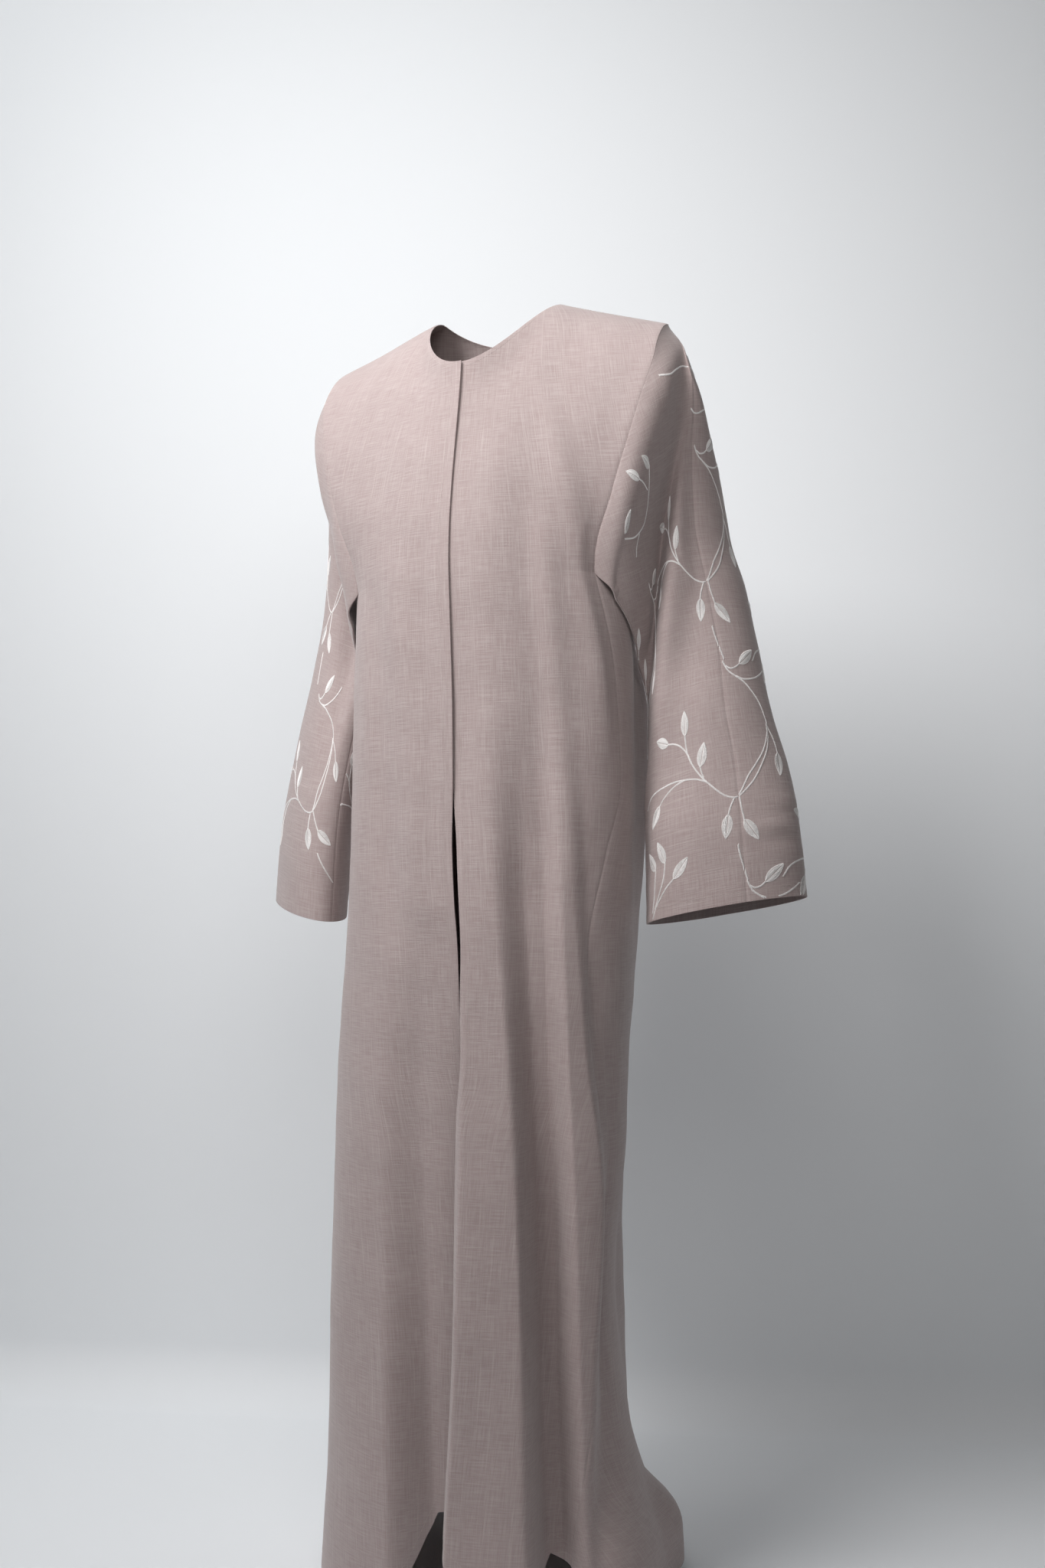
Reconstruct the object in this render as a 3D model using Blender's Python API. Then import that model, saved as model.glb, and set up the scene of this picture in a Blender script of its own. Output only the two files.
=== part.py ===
"""Open-fronted abaya cloak, worn: two fronts, a back and four sleeve halves as thin cloth walls.

Metres, +Z up. The wearer faces -Y and the wearer's left is +X. The origin lies on the
shoulder line, midway between the shoulders, level with the neck end of the shoulder seams.
Every panel is a grid of points worked out from the section and fold tables below, given a
wall of cloth on both sides of it.
"""
import math

import bpy
import numpy as np

# Cloth
WALL = 0.0018            # thickness of the cloth wall
SEAM_GAP = 0.0003        # clear space left between two pieces at a seam

# Neck and shoulders
NECK_HALF_WIDTH = 0.078
NECK_FRONT_DROP = 0.088
NECK_FRONT_Y = -0.112
NECK_BACK_DROP = 0.022
NECK_BACK_Y = 0.052
NECK_ROUND = 1.6          # how slowly the neck edge starts to fall from the shoulder seam
SHOULDER_TIP = (0.208, 0.0, -0.041)
UNDERARM_HEIGHT = -0.334
LIFT_FADE = 12.0         # degrees over which one front settles onto the other
DEGREES_PER_METRE = 325.0   # round the front of the body

HEM_SIDE = -1.44

CLOTH_COLOUR = (0.46, 0.36, 0.34, 1.0)

# Grid: number of cells
SHOULDER_CELLS = 12      # along the shoulder seam
NECK_CELLS = 9           # from the centre front to the neck end of the shoulder seam
BACK_NECK_CELLS = 10     # across the back neck
ARMHOLE_CELLS = 11       # from the underarm to the shoulder tip
SKIRT_CELLS = 17         # from the hem to the underarm
SLEEVE_CELLS = 15        # from the armhole to the cuff


def columns(names, *rows):
    """A table with one array for each named column; the first column is the height."""
    return dict(zip(names.split(), np.array(sorted(rows), dtype=float).T))


def read(table, column, height):
    """Smooth, overshoot-free value of a column at the given heights; the ends are held."""
    x, y = table["height"], table[column]
    step = np.diff(x)
    slope = np.diff(y) / step
    tangent = np.zeros_like(y)
    same = slope[:-1] * slope[1:] > 0
    tangent[1:-1][same] = 2 * slope[:-1][same] * slope[1:][same] / (slope[:-1] + slope[1:])[same]
    tangent[0], tangent[-1] = slope[0], slope[-1]
    h = np.clip(height, x[0], x[-1])
    i = np.clip(np.searchsorted(x, h, side="right") - 1, 0, len(step) - 1)
    t = (h - x[i]) / step[i]
    a = (1 + 2 * t) * (1 - t) ** 2 * y[i] + t * t * (3 - 2 * t) * y[i + 1]
    b = t * (1 - t) ** 2 * tangent[i] - t * t * (1 - t) * tangent[i + 1]
    return a + b * step[i]


# Body sections: the ellipse that each level hangs round, from its middle
BODY = columns(
    "height  middle_x  middle_y  half_width  front  back",
    (-1.460, -0.012, -0.030, 0.195, 0.125, 0.300),
    (-1.400, -0.012, -0.031, 0.191, 0.123, 0.235),
    (-1.330, -0.012, -0.032, 0.186, 0.121, 0.175),
    (-1.250, -0.012, -0.033, 0.184, 0.119, 0.157),
    (-1.120, -0.012, -0.035, 0.182, 0.115, 0.150),
    (-0.900, -0.012, -0.035, 0.177, 0.108, 0.145),
    (-0.720, -0.004, -0.038, 0.172, 0.100, 0.145),
    (-0.550,  0.000, -0.040, 0.171, 0.094, 0.140),
    (-0.334,  0.000, -0.030, 0.169, 0.108, 0.125),
)

# Where the seams run, in degrees round the body from the centre front
SEAMS = columns(
    "height  front_edge  left_side  right_side  overlap  lift",
    (-1.460,  6.5, 50.0, 72.0,  0.010, -0.0040),
    (-1.350,  7.5, 53.0, 73.0,  0.010, -0.0040),
    (-1.120, 10.5, 66.0, 75.0,  0.010, -0.0040),
    (-0.930, 10.5, 68.0, 78.0,  0.008, -0.0035),
    (-0.870, 10.2, 64.0, 79.0, -0.002, -0.0010),
    (-0.840,  9.5, 62.0, 79.0, -0.004,  0.0010),
    (-0.812,  8.5, 60.0, 79.0, -0.001,  0.0020),
    (-0.750,  7.2, 60.0, 80.0, -0.004,  0.0020),
    (-0.640,  3.4, 70.0, 80.0, -0.006,  0.0030),
    (-0.560,  1.6, 82.0, 80.0,  0.005,  0.0060),
    (-0.450,  0.5, 77.0, 76.0,  0.006,  0.0045),
    (-0.334, -0.5, 62.5, 62.5,  0.006,  0.0035),
)

# The back's armhole edge, as degrees round the body and as a multiple of its section
BACK_ARMHOLE = columns(
    "height  angle  reach",
    (-0.334,  62.5, 1.00),
    (-0.310,  82.0, 1.00),
    (-0.280,  98.0, 1.02),
    (-0.250, 109.0, 1.06),
    (-0.200, 117.0, 1.15),
    (-0.140, 118.0, 1.24),
    (-0.090, 113.0, 1.27),
    (-0.060, 106.5, 1.265),
    (-0.041, 101.0, 1.254),
)

# How far the fronts' armhole edge stands out sideways from the straight run of their cloth
FRONT_ARMHOLE = columns(
    "height  out",
    (-0.334, 0.000),
    (-0.300, 0.008),
    (-0.250, 0.022),
    (-0.180, 0.028),
    (-0.110, 0.024),
    (-0.065, 0.010),
    (-0.041, 0.000),
)

# The lower edge, by degrees round from the centre front, the left side positive
HEM = columns(
    "angle  height",
    (-180.0, -1.456),
    (-90.0, -1.455),
    (-60.0, -1.452),
    (-35.0, -1.445),
    (-17.0, -1.438),
    (-12.5, -1.424),
    (-8.5, -1.378),
    (-5.0, -1.353),
    (3.0, -1.348),
    (9.0, -1.378),
    (12.0, -1.387),
    (17.0, -1.404),
    (28.0, -1.411),
    (36.0, -1.403),
    (42.0, -1.378),
    (50.0, -1.388),
    (60.0, -1.425),
    (90.0, -1.445),
    (180.0, -1.456),
)

# Folds of the body. Each stands proud by "rise" (or is sunk where it is negative) between
# its two edges, in degrees round the body; "soft" is the width over which an edge turns.
FOLDS = {
    "centre fold": columns(
        "height  start  end  rise  start_soft  end_soft",
        (-1.400,  7.0, 39.0, 0.030, 5.0, 9.0),
        (-1.120, 10.5, 37.0, 0.026, 5.0, 9.0),
        (-0.900, 10.5, 33.5, 0.018, 6.0, 10.0),
        (-0.720,  5.0, 27.0, 0.010, 8.0, 12.0),
        (-0.480,  0.0, 20.0, 0.000, 10.0, 16.0),
    ),
    "centre recess": columns(
        "height  start  end  rise  start_soft  end_soft",
        (-1.400, -11.0, 9.0, -0.046, 12.0, 5.0),
        (-1.120, -14.0, 12.0, -0.030, 15.0, 5.0),
        (-0.900, -16.0, 12.0, -0.015, 17.0, 6.0),
        (-0.700, -18.0, 12.0, 0.000, 20.0, 8.0),
    ),
    "left valley": columns(
        "height  start  end  rise  start_soft  end_soft",
        (-1.400, 37.0, 53.0, -0.028, 8.0, 7.0),
        (-1.120, 36.0, 51.0, -0.026, 8.0, 7.0),
        (-0.900, 33.0, 48.0, -0.018, 9.0, 8.0),
        (-0.670, 25.0, 42.0, -0.010, 12.0, 9.0),
        (-0.480, 20.0, 36.0, 0.000, 16.0, 12.0),
    ),
    "left ridge": columns(
        "height  start  end  rise  start_soft  end_soft",
        (-1.400, 53.0, 60.0, 0.004, 7.0, 8.0),
        (-1.200, 51.0, 63.0, 0.010, 7.0, 8.0),
        (-1.000, 49.0, 68.0, 0.014, 7.0, 8.0),
        (-0.850, 47.0, 61.5, 0.012, 8.0, 8.0),
        (-0.670, 42.0, 54.5, 0.006, 9.0, 9.0),
        (-0.480, 36.0, 48.0, 0.000, 12.0, 12.0),
    ),
    "left side hollow": columns(
        "height  start  end  rise  start_soft  end_soft",
        (-1.400, 64.0, 120.0, 0.010, 14.0, 30.0),
        (-1.250, 66.0, 120.0, -0.014, 12.0, 30.0),
        (-1.110, 70.0, 124.0, -0.026, 12.0, 30.0),
        (-0.970, 72.0, 126.0, -0.010, 12.0, 30.0),
        (-0.800, 72.0, 126.0, 0.000, 14.0, 30.0),
    ),
    "back left drape": columns(
        "height  start  end  rise  start_soft  end_soft",
        (-0.900, 114.0, 150.0, 0.000, 22.0, 26.0),
        (-0.790, 114.0, 150.0, 0.005, 22.0, 26.0),
        (-0.700, 116.0, 150.0, 0.013, 22.0, 26.0),
        (-0.620, 116.0, 150.0, 0.021, 22.0, 26.0),
        (-0.480, 118.0, 150.0, 0.028, 22.0, 26.0),
        (-0.390, 122.0, 150.0, 0.014, 22.0, 26.0),
        (-0.334, 124.0, 150.0, 0.000, 22.0, 26.0),
    ),
    "back right drape": columns(
        "height  start  end  rise  start_soft  end_soft",
        (-0.980, 210.0, 246.0, 0.000, 26.0, 22.0),
        (-0.640, 210.0, 244.0, 0.014, 26.0, 22.0),
        (-0.480, 210.0, 242.0, 0.014, 26.0, 22.0),
        (-0.334, 210.0, 236.0, 0.000, 26.0, 22.0),
    ),
    "back left fold": columns(
        "height  start  end  rise  start_soft  end_soft",
        (-1.450, 112.0, 140.0, 0.014, 16.0, 16.0),
        (-1.420, 112.0, 140.0, 0.020, 16.0, 16.0),
        (-1.385, 112.0, 140.0, 0.025, 16.0, 16.0),
        (-1.360, 112.0, 140.0, 0.016, 16.0, 16.0),
        (-1.330, 112.0, 140.0, 0.003, 16.0, 16.0),
        (-1.250, 113.0, 139.0, -0.006, 16.0, 16.0),
        (-1.100, 114.0, 138.0, 0.002, 16.0, 16.0),
        (-0.600, 118.0, 136.0, 0.000, 18.0, 18.0),
    ),
    "back middle fold": columns(
        "height  start  end  rise  start_soft  end_soft",
        (-1.450, 164.0, 192.0, 0.034, 15.0, 15.0),
        (-1.100, 166.0, 190.0, 0.018, 15.0, 15.0),
        (-0.550, 170.0, 188.0, 0.000, 18.0, 18.0),
    ),
    "back right fold": columns(
        "height  start  end  rise  start_soft  end_soft",
        (-1.450, 216.0, 244.0, 0.030, 16.0, 16.0),
        (-1.100, 218.0, 242.0, 0.016, 16.0, 16.0),
        (-0.600, 222.0, 240.0, 0.000, 18.0, 18.0),
    ),
}

# Sleeve sections: the flattened ring that each level hangs in; "turn" is the direction of
# its outer end, in degrees round from the front, away from the body
LEFT_SLEEVE = columns(
    "height  middle_x  middle_y  half_width  half_depth  turn  over_seam  under_seam",
    (-0.740, 0.2695, 0.010, 0.0900, 0.044, 105.0, 74.0, 206.0),
    (-0.618, 0.2620, 0.015, 0.0850, 0.050, 105.0, 74.0, 192.0),
    (-0.540, 0.2530, 0.027, 0.0770, 0.052, 105.0, 74.0, 182.0),
    (-0.487, 0.2430, 0.033, 0.0695, 0.054, 105.0, 73.0, 180.0),
    (-0.410, 0.2330, 0.046, 0.0600, 0.055, 105.0, 72.0, 180.0),
    (-0.336, 0.2210, 0.050, 0.0560, 0.055, 105.0, 74.0, 180.0),
    (-0.275, 0.2120, 0.046, 0.0490, 0.053, 105.0, 74.0, 180.0),
    (-0.200, 0.2110, 0.036, 0.0410, 0.050, 105.0, 70.0, 180.0),
    (-0.120, 0.2170, 0.018, 0.0330, 0.044, 105.0, 62.0, 180.0),
    (-0.041, 0.2090, 0.000, 0.0190, 0.030, 105.0, 60.0, 180.0),
)
RIGHT_SLEEVE = columns(
    "height  middle_x  middle_y  half_width  half_depth  turn  over_seam  under_seam",
    (-0.740, 0.2740, 0.012, 0.1000, 0.042, 140.0, 75.0, 200.0),
    (-0.618, 0.2680, 0.020, 0.0930, 0.044, 140.0, 75.0, 195.0),
    (-0.487, 0.2490, 0.035, 0.0760, 0.046, 138.0, 75.0, 190.0),
    (-0.410, 0.2340, 0.044, 0.0640, 0.047, 135.0, 75.0, 190.0),
    (-0.336, 0.2190, 0.046, 0.0540, 0.048, 130.0, 75.0, 185.0),
    (-0.200, 0.2080, 0.034, 0.0400, 0.048, 115.0, 72.0, 180.0),
    (-0.120, 0.2080, 0.018, 0.0250, 0.044, 105.0, 62.0, 180.0),
    (-0.041, 0.2010, 0.000, 0.0130, 0.030, 105.0, 60.0, 180.0),
)
# Creases of the sleeves: troughs (or ridges, where "rise" is positive) that run down the
# front or the back face, "across" metres out from the middle line of the body
SLEEVE_CREASES = {
    "front_left deep crease": columns(
        "height  across  width  rise",
        (-0.450, 0.176, 0.024, 0.000),
        (-0.398, 0.182, 0.024, -0.006),
        (-0.331, 0.191, 0.024, -0.008),
        (-0.242, 0.206, 0.024, -0.008),
        (-0.176, 0.219, 0.022, -0.006),
        (-0.110, 0.231, 0.020, 0.000),
    ),
    "front_left panel fold": columns(
        "height  across  width  rise",
        (-0.580, 0.196, 0.030, 0.000),
        (-0.460, 0.199, 0.030, 0.012),
        (-0.376, 0.210, 0.028, 0.018),
        (-0.300, 0.220, 0.026, 0.014),
        (-0.230, 0.228, 0.024, 0.008),
        (-0.160, 0.234, 0.020, 0.000),
    ),
    "front_left roll": columns(
        "height  across  width  rise",
        (-0.430, 0.146, 0.024, 0.000),
        (-0.360, 0.158, 0.026, 0.008),
        (-0.280, 0.176, 0.026, 0.010),
        (-0.200, 0.200, 0.024, 0.010),
        (-0.120, 0.214, 0.020, 0.006),
        (-0.080, 0.220, 0.016, 0.000),
    ),
    "back_left fold": columns(
        "height  across  width  rise",
        (-0.740, 0.262, 0.034, -0.012),
        (-0.500, 0.240, 0.032, -0.014),
        (-0.250, 0.205, 0.026, -0.008),
        (-0.120, 0.200, 0.020, 0.000),
    ),
    "front_right fold": columns(
        "height  across  width  rise",
        (-0.560, 0.220, 0.024, 0.000),
        (-0.400, 0.205, 0.024, -0.010),
        (-0.250, 0.195, 0.022, -0.014),
        (-0.090, 0.200, 0.016, 0.000),
    ),
    "back_right fold": columns(
        "height  across  width  rise",
        (-0.740, 0.290, 0.030, -0.010),
        (-0.500, 0.262, 0.030, -0.014),
        (-0.250, 0.215, 0.026, -0.008),
        (-0.120, 0.200, 0.020, 0.000),
    ),
}
SLEEVE_CLEARANCE = 0.006  # between the sleeve and the side of the body
FRONT_CLEARANCE = 0.015   # between the sleeve's two halves there
SLEEVE_STAND_OFF = 0.018  # how far the sleeve steps out from the armhole
UNDERARM_PLAIN = 4        # cells beside the underarm seam over which the creases fade
ARMHOLE_SPACING = 1.2     # least degrees between two columns of points beside the back armhole
SPACING_FADE = 0.04       # below the shoulder tip, where that spacing sets in
ARMHOLE_REACH = 4         # how soon, across the front, the armhole edge's stand-out fades
RELAX_TIMES = 6           # how often the yoke's columns are eased
RELAX_ROWS = 3            # rows below the top edge over which that sets in
FOLDED_SEAM = 0.6         # mean of two unit normals below which a seam counts as folded
CORNER_STEP = 0.0026      # between the layers folded together at the underarm corner
CUFF_HEIGHT = -0.703
CUFF_END_RISE = 0.015     # the outer end of the cuff is higher than the inner one
CUFF_FRONT_RISE = 0.006


def smooth(t):
    """Ease from 0 to 1."""
    t = np.clip(t, 0.0, 1.0)
    return t * t * (3 - 2 * t)


def body_surface(angle, height, side):
    """Points of the folded body cloth, at angles in degrees from the centre front; side is 1
    on the left front, -1 on the right front and 0 on the back."""
    turn = np.radians(angle)
    sine, cosine = np.sin(turn), np.cos(turn)
    width = read(BODY, "half_width", height)
    depth = np.where(cosine > 0, read(BODY, "front", height), read(BODY, "back", height))
    x = read(BODY, "middle_x", height) + width * sine
    y = read(BODY, "middle_y", height) - depth * cosine
    out_x, out_y = sine / width, -cosine / depth
    size = np.hypot(out_x, out_y)
    edge = np.abs(angle - read(SEAMS, "front_edge", height)) / LIFT_FADE
    lift = side * read(SEAMS, "lift", height) / 2 * smooth(1 - edge)
    rise = body_relief(angle, height, side) - lift
    return np.stack([x + rise * out_x / size, y + rise * out_y / size, height + 0 * x], -1)


def body_relief(angle, height, side):
    """How far the folds stand out of the plain sections."""
    around = np.where(angle < -90, angle + 360, angle)
    rise = 0 * around
    for name, fold in FOLDS.items():
        if ("centre fold" in name and side < 1) or ("centre recess" in name and side > -1):
            continue
        start, end = read(fold, "start", height), read(fold, "end", height)
        soft_in, soft_out = read(fold, "start_soft", height), read(fold, "end_soft", height)
        edge_in = smooth((around - start) / soft_in + 0.5)
        edge_out = smooth((around - end) / soft_out + 0.5)
        rise = rise + read(fold, "rise", height) * (edge_in - edge_out)
    return rise


def hem_height(angle):
    """The hem dips from the centre front to the sides and on to the back."""
    around = np.where(angle > 180, angle - 360, angle)
    return np.interp(around, HEM["angle"], HEM["height"])


def skirt(start, end, spread, side):
    """Rows of points from the hem up to the underarm level, between two seams."""
    level = np.full(len(spread), HEM_SIDE)
    hem = hem_height(start(level) + (end(level) - start(level)) * spread)
    up = np.linspace(0.0, 1.0, SKIRT_CELLS + 1)
    height = hem[None, :] + (UNDERARM_HEIGHT - hem)[None, :] * up[:, None]
    angle = start(height) + (end(height) - start(height)) * spread[None, :]
    return body_surface(angle, height, side)


def around_body(points):
    """Degrees round the body and multiple of its section, for points at any height."""
    height = points[..., 2]
    off = points[..., 1] - read(BODY, "middle_y", height)
    depth = np.where(off < 0, read(BODY, "front", height), read(BODY, "back", height))
    across = (points[..., 0] - read(BODY, "middle_x", height)) / read(BODY, "half_width", height)
    return np.degrees(np.arctan2(across, -off / depth)) % 360, np.hypot(across, off / depth)


def from_around(angle, reach, height):
    """Points at a height, from degrees round the body and a multiple of its section."""
    sine, cosine = np.sin(np.radians(angle)), np.cos(np.radians(angle))
    depth = np.where(cosine > 0, read(BODY, "front", height), read(BODY, "back", height))
    x = read(BODY, "middle_x", height) + read(BODY, "half_width", height) * reach * sine
    return np.stack([x, read(BODY, "middle_y", height) - depth * reach * cosine, height], -1)


def yoke(skirt_rows, top, arrive):
    """Rows above the underarm level: each column leaves the skirt smoothly and arrives at
    its point of the top edge along the given direction."""
    base = skirt_rows[-1]
    leave = base - skirt_rows[-2]
    leave = leave / leave[:, 2:] * (top - base)[:, 2:]
    t = np.linspace(0.0, 1.0, ARMHOLE_CELLS + 1)[1:, None, None]
    return ((1 + 2 * t) * (1 - t) ** 2 * base + t * (1 - t) ** 2 * leave
            + t * t * (3 - 2 * t) * top - t * t * (1 - t) * arrive)


def relaxed(upper):
    """The rows above the underarm level with each column eased towards its neighbours, less
    and less near the top edge."""
    eased = upper.copy()
    free = smooth((ARMHOLE_CELLS - 1 - np.arange(ARMHOLE_CELLS)) / RELAX_ROWS)[:, None, None]
    for _ in range(RELAX_TIMES):
        between = (eased[:, :-2] + eased[:, 2:]) / 2
        eased[:, 1:-1] += (between - eased[:, 1:-1]) * free / 2
    return eased


def blend_rows(first, last, share):
    """Rows between two points or directions."""
    return np.asarray(first) + (np.asarray(last) - np.asarray(first)) * np.asarray(share)[:, None]


def front(side):
    """One front, from its free edge to the side seam; side is 1 on the wearer's left."""
    def free_edge(height):
        lap = read(SEAMS, "overlap", height) / 2 * DEGREES_PER_METRE
        return read(SEAMS, "front_edge", height) - side * lap

    def side_seam(height):
        return side * read(SEAMS, "left_side" if side > 0 else "right_side", height)

    cells = NECK_CELLS + SHOULDER_CELLS
    spread = np.linspace(0.0, 1.0, cells + 1)
    rows = skirt(free_edge, side_seam, spread, side)
    lap = SEAMS["overlap"][-1] / 2
    turn = np.linspace(-lap / NECK_HALF_WIDTH, math.pi / 2, NECK_CELLS + 1)
    lift = SEAMS["lift"][-1] / 2 * np.clip(1 - 4 * spread[:NECK_CELLS + 1], 0, 1)
    neck = np.stack([side * NECK_HALF_WIDTH * np.sin(turn),
                     NECK_FRONT_Y * np.cos(turn) + side * lift,
                     -NECK_FRONT_DROP * np.cos(turn) ** NECK_ROUND], -1)
    tip = np.array(SHOULDER_TIP) * (side, 1, 1)
    share = np.linspace(0.0, 1.0, SHOULDER_CELLS + 1)[1:]
    top = np.vstack([neck, blend_rows(neck[-1], tip, share)])
    at_middle = (0.0, 0.02, 0.22)
    at_neck = (side * -0.14, 0.28, 0.05)
    at_tip = (side * 0.01, 0.26, 0.07)
    arrive = np.vstack([
        blend_rows(at_middle, at_neck, np.linspace(0, 1, NECK_CELLS + 1) ** 2),
        blend_rows(at_neck, at_tip, share ** 0.5)])
    upper = relaxed(yoke(rows, top, arrive))
    out = read(FRONT_ARMHOLE, "out", upper[:, -1, 2])
    upper[..., 0] += side * out[:, None] * spread ** ARMHOLE_REACH
    return np.concatenate([rows, upper])


def back():
    """The back, from the left side seam round to the right one."""
    def left_seam(height):
        return read(SEAMS, "left_side", height)

    def right_seam(height):
        return 360 - read(SEAMS, "right_side", height)

    cells = 2 * SHOULDER_CELLS + BACK_NECK_CELLS
    spread = np.interp(np.arange(cells + 1),
                       (0, SHOULDER_CELLS, cells - SHOULDER_CELLS, cells), (0, 0.38, 0.62, 1))
    rows = skirt(left_seam, right_seam, spread, 0)
    turn = np.linspace(math.pi / 2, -math.pi / 2, BACK_NECK_CELLS + 1)
    neck = np.stack([NECK_HALF_WIDTH * np.sin(turn), NECK_BACK_Y * np.cos(turn),
                     -NECK_BACK_DROP * np.clip(np.cos(turn), 0, 1) ** NECK_ROUND], -1)
    tip = np.array(SHOULDER_TIP)
    share = np.linspace(0.0, 1.0, SHOULDER_CELLS + 1)[:-1]
    left = blend_rows(tip, neck[0], share)
    right = (left * (-1, 1, 1))[::-1]
    top = np.vstack([left, neck, right])
    at_middle = (0.0, -0.10, 0.16)
    at_neck = (-0.08, -0.26, 0.05)
    at_tip = (0.03, -0.48, 0.10)
    left_arrive = blend_rows(at_tip, at_neck, share ** 0.6)
    neck_arrive = blend_rows(at_neck, at_middle, np.cos(turn)) * np.sign([[1.0 * t, 1, 1] for t in turn])
    arrive = np.vstack([left_arrive, neck_arrive, (left_arrive * (-1, 1, 1))[::-1]])
    upper = yoke(rows, top, arrive)
    half = cells // 2
    left_part = curve_armhole(upper[:, :half + 1])
    right_part = curve_armhole(upper[:, half:][:, ::-1] * (-1, 1, 1))[:, ::-1] * (-1, 1, 1)
    return np.concatenate([rows, relaxed(np.concatenate([left_part, right_part[:, 1:]], axis=1))])


def curve_armhole(upper):
    """Half of the back above the underarm, its first column moved to the armhole's curve and
    the others less and less."""
    angle, reach = around_body(upper)
    height = upper[:, 0, 2]
    share = (angle[:, -1:] - angle) / (angle[:, -1:] - angle[:, :1])
    angle = angle + (read(BACK_ARMHOLE, "angle", height) - angle[:, 0])[:, None] * share
    spacing = ARMHOLE_SPACING * smooth((height[-1] - height) / SPACING_FADE)[:, None]
    spacing = spacing * np.arange(angle.shape[1])
    angle = np.maximum.accumulate(angle - spacing, axis=1) + spacing
    reach = reach + (read(BACK_ARMHOLE, "reach", height) - reach[:, 0])[:, None] * share ** 1.5
    return from_around(angle, reach, upper[..., 2])


def sleeve_half(table, side, armhole, is_front):
    """Rows from the armhole to the cuff; columns from the overarm to the underarm seam."""
    across = np.linspace(0.0, 1.0, len(armhole))
    down = np.linspace(0.0, 1.0, SLEEVE_CELLS + 1)[:, None]
    over, under = read(table, "over_seam", -0.74), read(table, "under_seam", -0.74)
    sweep = (under - over) if is_front else -(over + 360 - under)
    cuff_turn = np.radians(over + sweep * across)
    cuff = CUFF_HEIGHT + CUFF_END_RISE * np.cos(cuff_turn) + CUFF_FRONT_RISE * np.sin(cuff_turn)
    height = armhole[:, 2] + (cuff - armhole[:, 2]) * down ** 1.2
    over, under = read(table, "over_seam", height), read(table, "under_seam", height)
    sweep = (under - over) if is_front else -(over + 360 - under)
    ring = np.radians(over + sweep * across)
    turn = np.radians(read(table, "turn", height))
    along = read(table, "half_width", height) * np.cos(ring)
    out = read(table, "half_depth", height) * np.sin(ring)
    x = read(table, "middle_x", height) + along * np.sin(turn) - out * np.cos(turn)
    y = read(table, "middle_y", height) - along * np.cos(turn) - out * np.sin(turn)
    tube = np.stack([side * x, y, height], -1)
    fall_in = 1 if is_front else 1 - 0.6 * smooth((down - 0.1) / 0.15)
    stand_off = side * SLEEVE_STAND_OFF * smooth(down / 0.10) * fall_in
    hang = np.stack([armhole[:, 0] + stand_off, armhole[:, 1] + 0 * height, height], -1)
    hold = smooth(down / (0.16 + 0.32 * across ** 0.7))[..., None]
    cloth = hang * (1 - hold) + tube * hold
    cloth = cloth + sleeve_relief(cloth, side, is_front)
    clearance = SLEEVE_CLEARANCE * smooth(down / 0.06)
    if is_front:
        bulge = np.sin(np.clip((1 - across) / 0.25, 0, 1) * math.pi / 2)
        clearance = clearance + FRONT_CLEARANCE * smooth(down / 0.10) * bulge
    return clear_of_body(cloth, side, down, clearance)


def clear_of_body(cloth, side, down, clearance):
    """The sleeve cloth moved outwards where it would touch the side of the body cloth."""
    height = cloth[..., 2]
    off = cloth[..., 1] - read(BODY, "middle_y", height)
    depth = np.where(off < 0, read(BODY, "front", height), read(BODY, "back", height))
    reach = read(BODY, "half_width", height) * np.sqrt(np.clip(1 - (off / depth) ** 2, 0, 1))
    least = read(BODY, "middle_x", height) * side + reach + clearance
    push = np.where(down > 0, np.clip(least - side * cloth[..., 0], 0, None), 0)
    for _ in range(3):
        push[:, :-1] = np.maximum(push[:, :-1], 0.7 * push[:, 1:])
    moved = cloth.copy()
    moved[..., 0] += side * push
    return moved


def sleeve_relief(cloth, side, is_front):
    """How far the creases push the cloth of one sleeve half forwards or back."""
    half = ("front_" if is_front else "back_") + ("left" if side > 0 else "right")
    facing = -1 if is_front else 1
    push = np.zeros(cloth.shape[:2])
    edge_free = smooth(np.minimum(np.arange(cloth.shape[1]), 2) / 2)[None, :]
    under = smooth(np.arange(cloth.shape[1])[::-1] / UNDERARM_PLAIN)[None, :]
    edge_free = edge_free * under * smooth(np.arange(cloth.shape[0]) / 2)[:, None]
    for name, crease in SLEEVE_CREASES.items():
        if name.startswith(half):
            height = cloth[..., 2]
            off = (side * cloth[..., 0] - read(crease, "across", height)) / read(crease, "width", height)
            push = push + read(crease, "rise", height) * np.exp(-2 * off * off)
    move = np.zeros_like(cloth)
    move[..., 1] = facing * push * edge_free
    return move


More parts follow.
